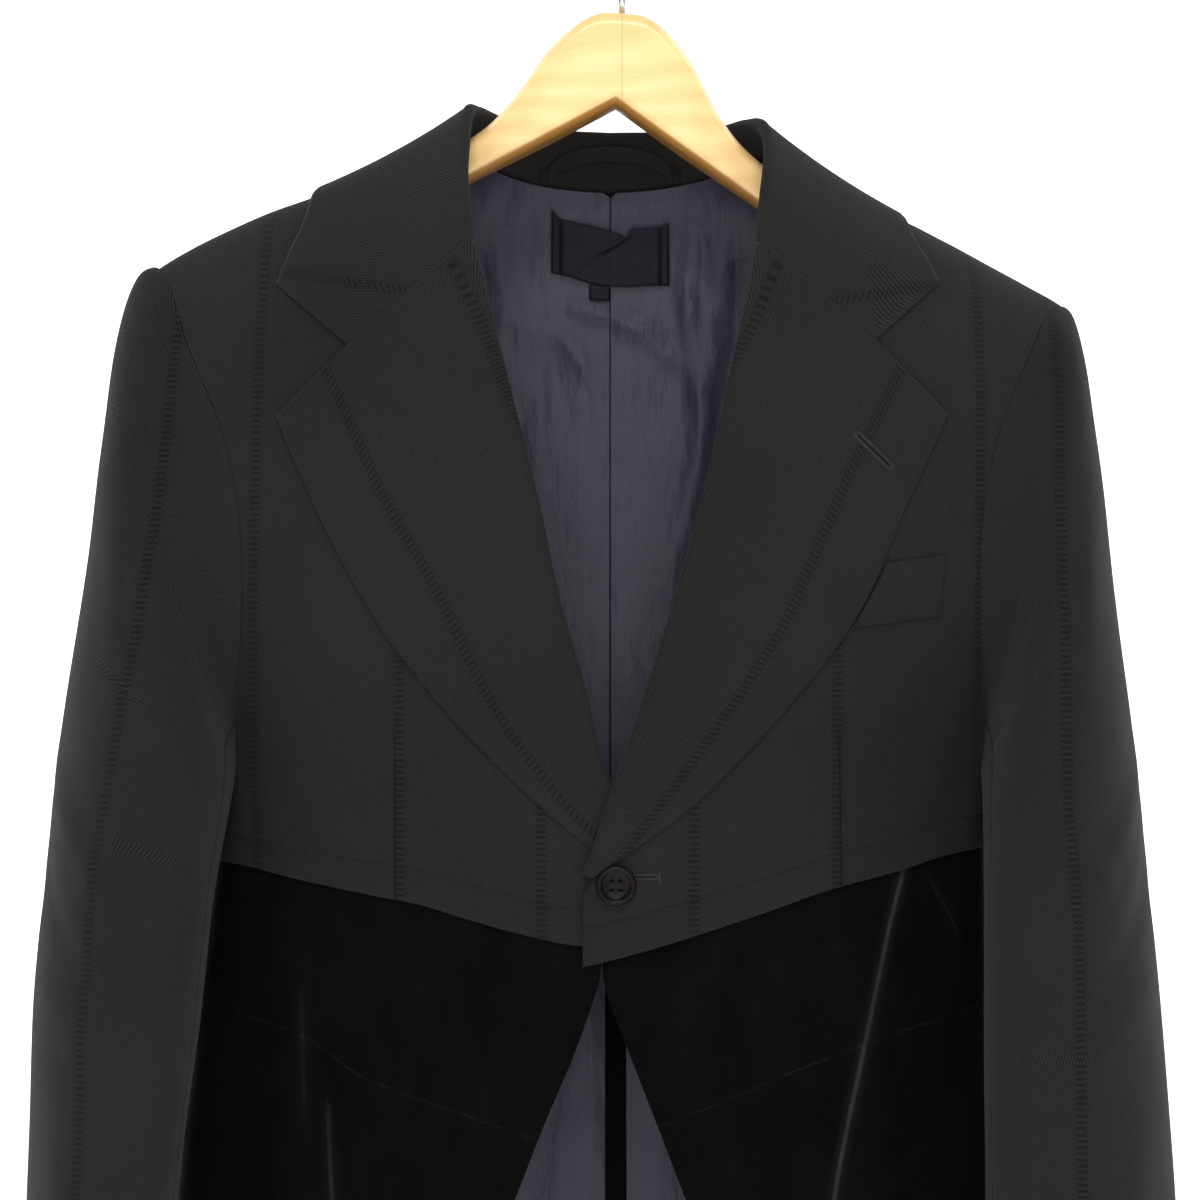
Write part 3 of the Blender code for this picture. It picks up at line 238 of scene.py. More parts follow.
SLEEVE_RIGHT = [
    (225.5, -207.0, 182.8, -438.8, 0, 46, 0.0), (229.4, -210.0, 183.0, -440.0, 0, 50, 0.35),
    (231.6, -220.0, 182.6, -441.5, -3, 56, 0.7), (233.6, -246.0, 181.6, -443.0, -8, 61, 0.95),
    (238.6, -290.0, 180.8, -445.0, -14, 66, 1.0), (243.0, -334.0, 179.8, -448.0, -21, 69, 1.0),
    (248.0, -384.0, 178.8, -456.0, -31, 69, 1.0), (253.0, -434.0, 177.2, -476.0, -44, 67, 1.0),
    (257.0, -492.0, 175.6, -508.0, -58, 63, 1.0), (261.0, -552.0, 174.4, -556.0, -68, 60, 1.0),
    (264.4, -610.0, 174.0, -612.0, -75, 57, 1.0), (267.0, -665.0, 174.6, -666.0, -79, 54, 1.0),
    (268.0, -735.0, 179.0, -735.0, -83, 50, 1.0), (267.5, -805.0, 185.0, -804.0, -86, 47, 1.0),
]
SLEEVE_POWER = 2.2
# the tube leans: its front stands this much further in than its back
SLEEVE_SKEW = 12.0
# the way that the shares of a sleeve's length run over, and the length that its folds are given for
SLEEVE_TOP_Z = -207.0
SLEEVE_DROP = 598.0
SLEEVE_LENGTH = 600.0
# gap between the armhole and the sleeve, and the lap that takes its place at the very top
ARMHOLE_GAP = 0.15
ARMHOLE_LAP = -0.3
# seams of the two sleeve pieces round the tube, in degrees from the outer side
SLEEVE_SEAM_FRONT = 150.0
SLEEVE_SEAM_BACK = -118.0
SLEEVE_SEAM_GAP = 0.04
UPPER_COLS = 85
UNDER_COLS = 41
SLEEVE_STEPS = 8

# breast pocket welt: top left, top right, bottom left, bottom right as x, z
WELT = [(131.4, -346.2), (159.0, -342.6), (115.2, -377.0), (156.6, -371.4)]
WELT_THICK = 1.5
WELT_LIFT = 0.4
WELT_ROWS = 25
WELT_COLS = 37

BUTTON_X = 2.4
BUTTON_Z = -498.9
BUTTON_LIFT = 3.6
THREAD_RADIUS = 1.6
BUTTON_SIDES = 72
BUTTON_HOLE_SPREAD = 1.8
BUTTON_HOLE_RADIUS = 0.9
BUTTON_HOLE_SIDES = 20
THREAD_SIDES = 28

# cloth labels and the loop at the back neck
LABEL_HALF = 30.5
LABEL_TOP_Z = -165.5
LABEL_BOTTOM_Z = -202.5
TAB_X = -5.4
TAB_HALF = 5.3
TAB_BOTTOM_Z = -210.0
LABEL_THICK = 0.7
LABEL_COLS = 49
TAB_COLS = 11
LOOP_HALF = 32.0
LOOP_WIDTH = 7.6
LOOP_THICK = 1.2
LOOP_Y = 48.4
LOOP_END_IN = 3.4
LOOP_END_Z = -144.0
LOOP_RISE = 8.0
LOOP_STEPS = 60
LOOP_ACROSS = [0.5, 0.42, 0.25, 0.0, -0.25, -0.42, -0.5]
LOOP_END_COLS = 13

# inner layers, measured inward from the outer face of the wool
VELVET_LIFT_FRONT = 2.5
VELVET_LIFT_BACK = 2.1
LINING_LIFT_TOP = 2.6
LINING_LIFT_SKIRT = 4.9
# the lining leaves the wool for the velvet from here down
LINING_STEP_Z = -430.0
LINING_STEP_SPAN = 34.0
# first row of the back that the lining has too, and the share of the rows below the shoulder where
# it leaves the wool's rows for the skirt's
LINING_FIRST_ROW = 8
LINING_SHARE = 0.8
# rows of the skirts, as shares of the way from the wool's hem to their own
SKIRT_SHARES = [0.0, 0.05, 0.11, 0.19, 0.28, 0.37, 0.47, 0.58, 0.69, 0.8, 0.9, 1.0]
SKIRT_STEPS = 6
SKIRT_FRONT_COLS = 61
LINING_HEM_Z = -1112.0
# what is laid on the lining stands this far off it
LAID_GAP = 0.8
LAID_DEPTH = LINING_LIFT_TOP + LINING + LAID_GAP
VENT_LEFT_X = -2.6
VENT_RIGHT_X = 8.2
VENT_THICK = 0.8
# the strip inside the vent starts at the first row of the lining below this much over its top
VENT_ABOVE = 20.0

# hanger, in its own frame below the top of the wood: half width, upper edge, lower edge, thickness
HANGER_TOP = (5.7, -75.0)
HANGER_LEAN = math.radians(4.0)
# the hidden ends of its arms lean less, as the cloth's weight lies on them
HANGER_LEAN_ENDS = math.radians(2.4)
HANGER_PROFILE = [
    (0, 0.0, -45.0, 30), (12, -1.2, -52.5, 30), (24, -9.0, -60.0, 30), (37, -24.0, -68.0, 29),
    (47, -40.5, -74.0, 27), (57, -54.0, -80.0, 25), (67, -63.5, -86.0, 22),
    (82, -73.5, -95.0, 19), (112, -86.0, -108.0, 18), (144, -98.3, -119.0, 18),
    (168, -108.8, -128.0, 17), (184, -117.2, -134.5, 15), (190, -123.0, -132.0, 10),
]
HANGER_CORNER = 7.0
HANGER_STEPS = 76
HOOK_WIRE = 1.7
HOOK_RADIUS = 20.0
HOOK_SIDES = 20
# shaft of the hook from the wood up to its round part: x, z
HOOK_SHAFT = [(5.7, -74.6), (5.7, -66.0), (5.7, -58.0), (7.2, -50.5), (11.5, -43.5)]
HOOK_TURNS = [-40.0, 200.0]
HOOK_STEPS = 72

# shadow stripes of the wool: height, then their places across the jacket
BODY_STRIPES = [
    (-560, -236, -170.5, -100.7, -33.2, 39.5, 107.9, 176.7, 240),
    (-391, -236, -171.9, -100.7, -33.2, 39.5, 107.9, 176.7, 240),
    (-261, -236, -168.6, -100.7, -33.2, 39.5, 107.9, 176.7, 240),
    (-188, -236, -166.7, -100.7, -33.2, 39.5, 107.9, 176.7, 240),
]
# on each lapel: height, place of the outer stripe, place of the inner one
LAPEL_STRIPES = {
    -1: [
        (-490, 8, 88), (-474.7, -8.5, 72), (-454.7, -26.6, 54), (-416.7, -54.1, 27),
        (-358.8, -83.1, -3), (-313.7, -108.3, -27), (-268, -129, -48.4), (-233.4, -146, -61.3),
        (-206.3, -160, -74.1), (-190, -168, -82),
    ],
    1: [
        (-490, 2, -76), (-445.7, 34.7, -44), (-425.8, 49.4, -29), (-398.7, 67.5, -11),
        (-374.9, 82.2, 4), (-342.6, 96.5, 19), (-307.9, 111.2, 34), (-286.1, 122.1, 45),
        (-253.3, 138, 56.6), (-233.4, 148, 67.5), (-206.3, 162, 78.4), (-190, 170, 87),
    ],
}
STRIPE_SPACE = 68.0
# the stripe at each end of the collar: two points as x and z
COLLAR_STRIPES = [((-150.1, -208.2), (-97.4, -217.2)), ((104.1, -222.5), (154.9, -213.4))]
# on each sleeve: height, place of its stripe
SLEEVE_STRIPES = {
    -1: [(-810, -245), (-600, -242), (-521.7, -239.9), (-487.5, -237.4), (-417.3, -228), (-381.7, -222.1),
         (-351.8, -219.2), (-306, -213.7), (-251, -210.4), (-200, -208)],
    1: [(-810, 214), (-573.3, 211.9), (-521.7, 212.1), (-452, 209), (-381.7, 211.3), (-315.6, 212.5),
        (-242.4, 214.7), (-200, 216)],
}

# soft folds of the body: side, from x, z to x, z, width, height
FOLDS = [
    (-1, -176, -410, -128, -478, 11, 1.5), (-1, -178, -440, -150, -505, 9, 1.2),
    (-1, 178, -404, 136, -470, 11, 1.5), (-1, 180, -436, 158, -498, 9, 1.1),
    (-1, -170, -352, -138, -300, 12, -1.3), (-1, 172, -345, 142, -292, 12, -1.3),
    (-1, 34, -497, 84, -476, 10, 0.9), (-1, -26, -505, -78, -486, 11, 0.8),
    (-1, -150, -540, -158, -700, 17, 2.4), (-1, -96, -560, -112, -760, 20, -2.2),
    (-1, 128, -540, 118, -720, 17, 2.2), (-1, 78, -560, 88, -760, 20, -2.0),
    (-1, 172, -520, 176, -800, 13, -1.8), (-1, -184, -520, -196, -820, 14, -1.8),
    (1, -150, -300, -92, -348, 15, 1.6), (1, 152, -306, 96, -352, 15, 1.6),
    (1, -172, -408, -112, -470, 13, 1.7), (1, 174, -410, 116, -468, 13, 1.7),
    (1, -60, -215, -22, -262, 12, 0.9), (1, 58, -218, 22, -262, 12, 0.9),
    (1, -120, -520, -136, -780, 20, 2.4), (1, 118, -520, 132, -780, 20, 2.4),
    (1, -66, -560, -78, -840, 18, -2.0), (1, 64, -560, 78, -840, 18, -2.0),
]
# wrinkles of the lining, only inward: from x, z to x, z, width, height
LINING_FOLDS = [
    (45, -175, 40, -220, 3.2, 2.4), (54, -176, 48, -232, 3.0, 2.2), (62, -180, 55, -240, 3.4, 2.0),
    (36, -205, 47, -262, 4.0, 2.2), (52, -236, 44, -300, 4.6, 1.8), (47, -270, 33, -345, 6.0, 1.5),
    (-44, -172, -47, -250, 3.6, 1.7), (-55, -176, -57, -262, 3.6, 1.7), (-36, -212, -40, -300, 5.0, 1.3),
    (-30, -168, 30, -166, 3.0, 1.2), (-20, -214, 26, -222, 4.5, 1.5), (-28, -226, -12, -246, 5.0, 1.2),
    (10, -225, 34, -240, 4.0, 1.4), (-62, -230, -44, -330, 6.5, 1.4), (60, -300, 40, -420, 8.0, 1.4),
    (-50, -330, -28, -430, 8.0, 1.2),
    (-11, -560, -13, -600, 2.6, 1.8), (-17, -588, -15, -640, 3.0, 2.2), (-9, -628, -16, -690, 3.2, 2.0),
    (-24, -640, -30, -720, 4.0, 2.0), (24, -600, 31, -700, 4.4, 1.6), (-40, -760, -46, -900, 7.0, 1.8),
    (38, -760, 46, -900, 7.0, 1.8),
]
# folds of each sleeve: share of its length, turn, then the same of the other end, width, height
SLEEVE_FOLDS = [
    (0.40, 18, 0.50, 80, 9, 1.7), (0.46, 10, 0.55, 64, 8, -1.4), (0.36, 100, 0.47, 62, 9, 1.4),
    (0.56, 20, 0.60, 78, 9, 1.2), (0.70, 50, 0.90, 66, 12, 1.6), (0.62, 96, 0.86, 104, 11, -1.4),
    (0.16, 60, 0.36, 74, 13, 1.2), (0.12, 100, 0.30, 112, 10, -1.2), (0.44, -20, 0.52, -80, 10, 1.6),
    (0.50, -10, 0.58, -70, 9, -1.4), (0.72, -46, 0.92, -60, 12, 1.5), (0.2, -50, 0.36, -70, 13, 1.2),
]

# the side seams beside the sleeves: height, how far they stand out on the left, on the right
SIDE_FILL = [
    (-1130, 3.0, 2.0), (-800, 4.4, 2.4), (-650, 3.8, 2.4), (-590, 1.8, 2.2), (-540, 1.4, 2.4),
    (-518, 1.8, 2.8), (-495, 2.8, 2.8), (-470, 1.8, 1.6), (-445, 1.8, 1.2), (-425, 0.7, 0.6),
    (-405, 0.0, 0.0),
]
SIDE_FILL_TOP_Z = -400.0
# the shared folds fade in below the shoulders
CALM_Z = -212.0
CALM_SPAN = 40.0

# the lining goes this much further up inside the neck seam
LINING_RISE = 2.5
# the label's slope, as fall over width
LABEL_TILT = 0.08
# in the marks map a dart's line runs where the second channel has this value
DART_MARK = 40.0
# darts of the fronts, left then right: x at the height of -431 and the change of x per mm down
DARTS = {-1: (-103.0, -0.004), 1: (108.7, -0.02)}
DART_HEIGHT = -431.0
# the dart's line fades in below the lapel here
DART_TOP_Z = -424.0
# rolls as they run on at the lapels' feet
FOOT_ROLL_LEFT = [(-462.0, 1.5), (-458.5, 0.0), (-452.8, -1.6)]
FOOT_ROLL_RIGHT = [(-496.0, -11.6), (-484.0, -6.4)]
# gap between the collar's end and the lapel, and how many rows of the collar follow the lapel's edge
GORGE_SEAM = 0.12
GORGE_ROWS = 12
# height of the left lapel's foot over the left front, below the right front
FOOT_LIFT = 0.58

# pressed creases of the velvet fronts, painted lighter as sheen: height, place of the main one, place of the
# other one
CREASES = {
    -1: [
        (-1130, -152, -116), (-760, -140, -127), (-660, -146.5, -133), (-615, -146.8, -135.3),
        (-555, -148.7, -137), (-490, -150, -139),
    ],
    1: [
        (-1130, 26, 190), (-760, 92, 181), (-647, 107.4, 176), (-573, 122.1, 172.5),
        (-527, 132.5, 171), (-498, 140.2, 154.9), (-470, 147, 146),
    ],
}
# where the painted sheen of each of them shows: highest, top of its full strength, bottom of that, lowest,
# strength
CREASE_SPANS = {
    -1: ((-545, -560, -598, -618, 0.09), (-600, -614, -700, -800, 0.24)),
    1: ((-480, -504, -720, -860, 0.5), (-494, -502, -524, -532, 0.1)),
}
# faint lines of painted sheen across the velvet, along the old fold of the hem: place across, height
CREASE_ACROSS = {
    -1: [(-230, -556), (-189, -562.6), (-147.7, -573), (-119.2, -591.5), (-64.6, -611), (0, -632)],
    1: [(-10, -624), (29, -612), (122.6, -575.9), (169.1, -564), (220, -552)],
}
# what the label's upper edge hangs down and its lower edge is drawn up: place across, millimetres
LABEL_DROOP = [
    (-30.5, 0.0), (-29.0, 0.4), (-27.0, 3.2), (-20.0, 4.8), (-5.0, 7.4), (5.0, 9.2), (9.0, 10.2),
    (10.6, 6.8), (18.0, 5.4), (27.0, 4.0), (28.6, 2.7), (30.5, 2.5),
]
LABEL_FOOT = [(-30.5, 4.6), (-20.0, 3.0), (-10.0, 0.5), (0.0, 0.0), (10.0, 0.6), (20.0, 1.8), (30.5, 2.8)]
# width of the label's sewn ends
LABEL_END = 3.6
# slack folds of the label: from x, z to x, z, width, height
LABEL_FOLDS = [
    (9.5, -176.0, -5.5, -185.0, 1.3, 1.3), (-22, -176, -2, -182, 5.0, 0.4),
    (-22, -196, -6, -184, 4.0, 0.7), (10, -190, 24, -199, 4.0, 0.7),
]
# the hem band's rows, as shares of its width
BAND_ROWS = [1.22, 1.12, 1.06, 1.03, 1.0, 0.97, 0.94, 0.88, 0.74, 0.58, 0.42, 0.27, 0.14, 0.06, 0.02, 0.0]
# outline of the button with its rounded rim: radius, height over its underside
BUTTON_FINE = [
    (0.0, 0.0), (6.5, 0.0), (7.8, 0.15), (8.8, 0.6), (9.35, 1.2), (9.6, 2.0), (9.5, 2.5), (9.2, 2.95),
    (8.8, 3.25), (8.3, 3.4), (7.8, 3.35), (7.35, 3.1), (6.95, 2.75), (6.5, 2.35), (6.1, 2.1), (5.4, 1.98),
    (3.0, 1.92), (0.0, 1.9),
]
# how far the cloth of a wall closes at its edges
EDGE_CLOSE = 0.55

# sewing: sides of a stitch and of a cord
STITCH_SIDES = 6
CORD_SIDES = 10
# stitches over the hem of each front: x from and to, and the pitch
HEM_STITCH_X = {-1: (-186.0, 6.0), 1: (-12.6, 183.0)}
HEM_PITCH = 2.1
# radius and rise of the stitches in the wool, and radius of those of the label and the button
STITCH_RADIUS = 0.2
STITCH_RISE = 0.16
WELT_STITCH_RISE = 0.15
LABEL_STITCH_RADIUS = 0.28
LABEL_STITCH_RISE = 0.2
BUTTON_STITCH_RADIUS = 0.22
BUTTON_STITCH_RISE = 0.62
# buttonholes of the front and of the lapel: x and z of both ends, half width, steps on each side
FRONT_HOLE = (10.8, -495.3, 21.0, -495.0, 1.0, 14)
LAPEL_HOLE = (116.6, -286.0, 132.0, -300.6, 1.2, 22)
HOLE_END_STEPS = 8
# bar tack of the front's buttonhole, and the slot of the lapel's one, a dark cord of painted shade
TACK_X = 23.0
TACK_HEIGHTS = (-498.3, -497.0, -495.6, -494.2, -492.6)
SLOT_ENDS = ((117.0, -286.4), (131.6, -300.2))
SLOT_STEPS = 16
# stitches that hold the welt's outer end: from x, z to x, z, and their number
WELT_STITCHES = ((157.3, -345.0), (155.2, -370.0), 13)
LABEL_STITCHES = 15

# each sheet of cloth: slot, how it is held, what it rests on
SHEETS = {
    "front_left": ("wool", "hung", "hanger_wood"),
    "front_right": ("wool", "hung", "hanger_wood", "front_left"),
    "back_left": ("wool", "hung", "hanger_wood"),
    "back_right": ("wool", "hung", "hanger_wood"),
    "sleeve_left_upper": ("wool", "hung", "front_left"),
    "sleeve_left_under": ("wool", "hung", "sleeve_left_upper"),
    "sleeve_right_upper": ("wool", "hung", "front_right"),
    "sleeve_right_under": ("wool", "hung", "sleeve_right_upper"),
    "lapel_left": ("wool", "folded", "front_left"),
    "lapel_right": ("wool", "folded", "front_right"),
    "collar": ("wool", "folded", "back_left", "back_right"),
    "chest_welt": ("wool", "laid", "front_right"),
    "velvet_front_left": ("velvet", "hung", "front_left"),
    "velvet_front_right": ("velvet", "hung", "front_right"),
    "velvet_back_left": ("velvet", "hung", "back_left"),
    "velvet_back_right": ("velvet", "hung", "back_right"),
    "vent_facing": ("velvet", "hung", "lining_left", "lining_right"),
    "lining_left": ("satin", "hung", "back_left"),
    "lining_right": ("satin", "hung", "back_right"),
    "neck_label": ("label", "laid", "lining_left", "lining_right"),
    "size_tab": ("label", "hung", "neck_label"),
    "hanger_loop": ("wool", "hung", "collar"),
}
# the slots of the hard pieces
HARD = {"button": "horn", "button_thread": "wool", "hanger_wood": "wood", "hanger_hook": "steel"}

# no cut is taken as shorter than this, in metres
LEAST_CUT = 0.0105
VIEW = "Standard"
CAMERA_PLACE = (-5.2, -1460.0, -364.0)
CAMERA_LENS = 88.42
CAMERA_SENSOR = 36.0
# the paper behind the part starts well beyond any camera that looks from the back
SWEEP_FRONT = 6000.0
SWEEP_BACK = 6000.0
SWEEP_ROUND = 900.0
SWEEP_TOP = 5200.0
SWEEP_SIDE = 9000.0
# the lining's colours: how much painted shade darkens its seam, and the share of its low colour that is used
SEAM_SHADE = 0.6
SEAM_LOW = 0.6
FLOOR_Z = -1245.0
WORLD_LIGHT = 0.27
# soft lights: name, place in metres, turn in degrees, size in metres, watts
LIGHTS = [
    ("front_soft", (0.0, -2.4, -0.1), (86.0, 0.0, 0.0), (1.3, 1.1), 17.0),
    ("top_soft", (0.0, -1.5, 1.0), (47.0, 0.0, 0.0), (1.2, 0.5), 20.0),
    ("left_soft", (-1.7, -1.9, 0.1), (76.0, 0.0, -40.0), (1.4, 1.6), 7.0),
    ("right_soft", (1.7, -1.9, 0.1), (76.0, 0.0, 40.0), (1.4, 1.6), 7.0),
    ("back_left", (-2.2, 0.2, 1.4), (-35.0, -40.0, 0.0), (2.0, 2.0), 48.0),
    ("back_right", (2.2, 0.2, 1.4), (-35.0, 40.0, 0.0), (2.0, 2.0), 48.0),
]

# what is made: objects by name, and the cuts of the walls in metres
MADE = {}
CUTS = {}


def slope_at(rows, index, column):
    """Slope of a table's column at one of its rows."""
    low = max(index - 1, 0)
    high = min(index + 1, len(rows) - 1)
    span = rows[high][0] - rows[low][0]
    return (rows[high][column] - rows[low][column]) / span


def look_up(rows, key, column=1):
    """Smooth value of a table's column; the first column is the key and runs upward."""
    if key <= rows[0][0]:
        return rows[0][column]
    if key >= rows[-1][0]:
        return rows[-1][column]
    index = 0
    while rows[index + 1][0] < key:
        index += 1
    span = rows[index + 1][0] - rows[index][0]
    t = (key - rows[index][0]) / span
    a = rows[index][column]
    b = rows[index + 1][column]
    ma = slope_at(rows, index, column) * span
    mb = slope_at(rows, index + 1, column) * span
    t2 = t * t
    t3 = t2 * t
    return (2 * t3 - 3 * t2 + 1) * a + (t3 - 2 * t2 + t) * ma + (3 * t2 - 2 * t3) * b + (t3 - t2) * mb


def look_up_row(rows, key, first=1, last=None):
    """Smooth values of a table's columns, from first to last."""
    last = last or len(rows[0]) - 1
    return tuple(look_up(rows, key, c) for c in range(first, last + 1))


def side_column(side):
    """Column of a table for the left or the front, or else for the right or the back."""
    return 1 if side < 0 else 2


def clamp(t):
    return min(max(t, 0.0), 1.0)


def ease(t):
    """Smooth step from 0 to 1."""
    t = clamp(t)
    return t * t * (3 - 2 * t)


def mix(a, b, t):
    """Straight blend of two numbers or points."""
    if isinstance(a, tuple):
        return tuple(p + (q - p) * t for p, q in zip(a, b))
    return a + (b - a) * t


def length(a):
    return math.sqrt(a[0] * a[0] + a[1] * a[1] + a[2] * a[2])


def unit(a):
    size = length(a)
    if size < 1e-9:
        return (0.0, 0.0, 0.0)
    return (a[0] / size, a[1] / size, a[2] / size)


def sub(a, b):
    return (a[0] - b[0], a[1] - b[1], a[2] - b[2])


def cross(a, b):
    return (a[1] * b[2] - a[2] * b[1], a[2] * b[0] - a[0] * b[2], a[0] * b[1] - a[1] * b[0])


def shift(p, n, d):
    """Point moved by a distance along a direction."""
    return (p[0] + n[0] * d, p[1] + n[1] * d, p[2] + n[2] * d)


def mirror(p, sign):
    return (sign * p[0], p[1], p[2])


def square_to(a, b):
    """Direction nearest to a that is square to b."""
    return unit(shift(a, b, -sum(p * q for p, q in zip(a, b))))


def circle(middle, across, up, radius, sides):
    """Points of a circle round a middle, in the plane of two directions."""
    turns = [2 * math.pi * k / sides for k in range(sides)]
    return [shift(shift(middle, across, radius * math.cos(a)), up, radius * math.sin(a)) for a in turns]


def heading(points, k, closed=False):
    """Direction of a path at one of its points."""
    if closed:
        return unit(sub(points[(k + 1) % len(points)], points[k - 1]))
    return unit(sub(points[min(k + 1, len(points) - 1)], points[max(k - 1, 0)]))


def each(grid, make):
    """Grid of what a function makes of every point."""
    return [[make(p) for p in line] for line in grid]


def make_grid(rows, cols, point):
    """Grid of the points that a function gives for the shares down and across."""
    return [[point(i / (rows - 1), j / (cols - 1)) for j in range(cols)] for i in range(rows)]


def signed_power(v, power):
    return math.copysign(abs(v) ** power, v)


def finer(values, steps):
    """The same list with even steps between its entries."""
    out = []
    for a, b in zip(values, values[1:]):
        out += [mix(a, b, k / steps) for k in range(steps)]
    return out + values[-1:]


def flare(x, z, side):
    """Soft flutes of the skirts, growing toward the hem."""
    grow = ease((FLUTE_TOP_Z - z) / FLUTE_SPAN)
    phase = math.atan2(x, -side * 90.0)
    return FLUTE_DEPTH * grow * math.sin(FLUTE_COUNT * phase + 0.6 * side)


def shoulder_z(x):
    """Height of the shoulder line at a given half width."""
    return look_up(SHOULDER_LINE, abs(x))


def width_at(x, z):
    """Half width of the section on the side of x."""
    return look_up(WIDTH, z, side_column(x))


def deep_at(x, z, side):
    """Half depth of the section in its middle."""
    return look_up(DEPTH, z, side_column(side)) + flare(x, z, side)


def depth_at(x, z, side):
    """How far the front or back surface stands off the middle plane."""
    across = min(abs(x) / width_at(x, z), 1.0)
    section = (1.0 - across ** BODY_POWER) ** (1.0 / BODY_POWER)
    down = max(shoulder_z(x) - z, 0.0)
    q = clamp(1.0 - down / CAP_HEIGHT)
    cap = math.sqrt(max(1.0 - q * q, 0.0))
    return deep_at(x, z, side) * section * cap


def body_level(x, y, z, side):
    """Zero on the surface of the body, positive outside it."""
    across = abs(x) / width_at(x, z)
    room = 1.0 - across ** BODY_POWER
    section = signed_power(room, 2.0 / BODY_POWER)
    q = max(1.0 - (shoulder_z(x) - z) / CAP_HEIGHT, 0.0)
    return (y / deep_at(x, z, side)) ** 2 - section * (1.0 - q * q)


def body_normal(p, side):
    """Outward normal of the body at a point on it."""
    e = 0.4
    x, y, z = p
    return unit((
        body_level(x + e, y, z, side) - body_level(x - e, y, z, side),
        body_level(x, y + e, z, side) - body_level(x, y - e, z, side),
        body_level(x, y, z + e, side) - body_level(x, y, z - e, side),
    ))


def on_body(x, z, side, lift):
    """Point on the front (-1) or back (+1), moved out along the surface normal."""
    p = (x, side * depth_at(x, z, side), z)
    return shift(p, body_normal(p, side), lift)


def over_shoulder(x, turn, lift):
    """Point on the body at a turn over the shoulder; zero is the shoulder line itself."""
    side = -1 if turn < 0 else 1
    z = shoulder_z(x) - CAP_HEIGHT * (1.0 - math.cos(math.radians(turn)))
    if abs(turn) < 1.0:
        return shift((x, 0.0, z), body_normal((x, 0.0, z), side), lift)
    return on_body(x, z, side, lift)


def tilt(point):
    """Raise the left shoulder and lower the right one; fades out below the shoulders."""
    x, y, z = point
    down = shoulder_z(x) - z
    weight = 1.0 - ease((down + 14.0) / TILT_FADE)
    return (x, y, z + look_up(TILT, x) * weight)


def enclosed(verts, faces):
    """Signed volume of a closed mesh; negative where its faces point inward."""
    total = 0.0
    for face in faces:
        a = verts[face[0]]
        for k in range(1, len(face) - 1):
            n = cross(verts[face[k]], verts[face[k + 1]])
            total += a[0] * n[0] + a[1] * n[1] + a[2] * n[2]
    return total / 6.0


def grid_normals(grid, sign, closed=False):
    """Normal at each point of a grid from its neighbours; closed joins its last column to its first."""
    rows = len(grid)
    cols = len(grid[0])
    out = []
    for i in range(rows):
        line = []
        for j in range(cols):
            down = sub(grid[min(i + 1, rows - 1)][j], grid[max(i - 1, 0)][j])
            if closed:
                along = sub(grid[i][(j + 1) % cols], grid[i][(j - 1) % cols])
            else:
                along = sub(grid[i][min(j + 1, cols - 1)], grid[i][max(j - 1, 0)])
            n = unit(cross(along, down))
            line.append((n[0] * sign, n[1] * sign, n[2] * sign))
        out.append(line)
    return out


def near_fold(x, z, fold):
    """Height of one fold at a place: full along its line, faded across it and at its ends."""
    x0, z0, x1, z1, wide, high = fold
    dx = x1 - x0
    dz = z1 - z0
    t = ((x - x0) * dx + (z - z0) * dz) / (dx * dx + dz * dz)
    if t < -0.35 or t > 1.35:
        return 0.0
    sway = 0.35 * wide * math.sin(3.4 * t + x0)
    away = ((x - x0) * dz - (z - z0) * dx) / math.hypot(dx, dz) - sway
    if abs(away) > 3.0 * wide:
        return 0.0
    ends = ease((t + 0.35) / 0.55) * ease((1.35 - t) / 0.55)
    return high * ends * math.exp(-((away / wide) ** 2))


def drape(x, z, side):
    """Soft unevenness that all the layers of the body share."""
    total = 0.0
    for fold in FOLDS:
        if fold[0] == side:
            total += near_fold(x, z, fold[1:])
    total += 0.35 * math.sin(x / 21.0 + 1.7 * math.sin(z / 63.0)) * math.sin(z / 37.0 + x / 90.0)
    total += 0.22 * math.sin(x / 9.5 + z / 31.0 + side) * math.sin(z / 15.0)
    calm = ease((CALM_Z - z) / CALM_SPAN)
    return total * calm + (side_fill(x, z) if z < SIDE_FILL_TOP_Z else 0.0)


def lining_wrinkle(x, z):
    """Wrinkles of the lining, as a distance inward."""
    total = 0.0
    for fold in LINING_FOLDS:
        total += near_fold(x, z, fold)
    fine = 0.5 + 0.5 * math.sin(x / 3.1 + 2.0 * math.sin(z / 17.0))
    top = ease((z + 235.0) / 50.0)
    return max(total, 0.0) + 0.55 * fine * top


def stripe_place(x, z, table):
    """Place among the stripes: a whole number on each of them, even in between."""
    places = look_up_row(table, z)
    if places[-1] < places[0]:
        x = -x
        places = [-p for p in places]
    k = 0
    while k < len(places) - 2 and x > places[k + 1]:
        k += 1
    return k + (x - places[k]) / (places[k + 1] - places[k])


def lone_stripe(away):
    """Mark of a stripe that has no other beside it."""
    return (clamp(away / STRIPE_SPACE + 0.45) - 0.45, 0.0)


def between_stripes(p):
    return (0.5, 0.0)


def body_uv(grid):
    """Cloth coordinates of a body panel: round the body and down it, in millimetres."""
    out = []
    for line in grid:
        u = line[0][0]
        row = [(u, line[0][2])]
        for a, b in zip(line, line[1:]):
            u += math.copysign(math.hypot(b[0] - a[0], b[1] - a[1]), b[0] - a[0])
            row.append((u, b[2]))
        out.append(row)
    return out


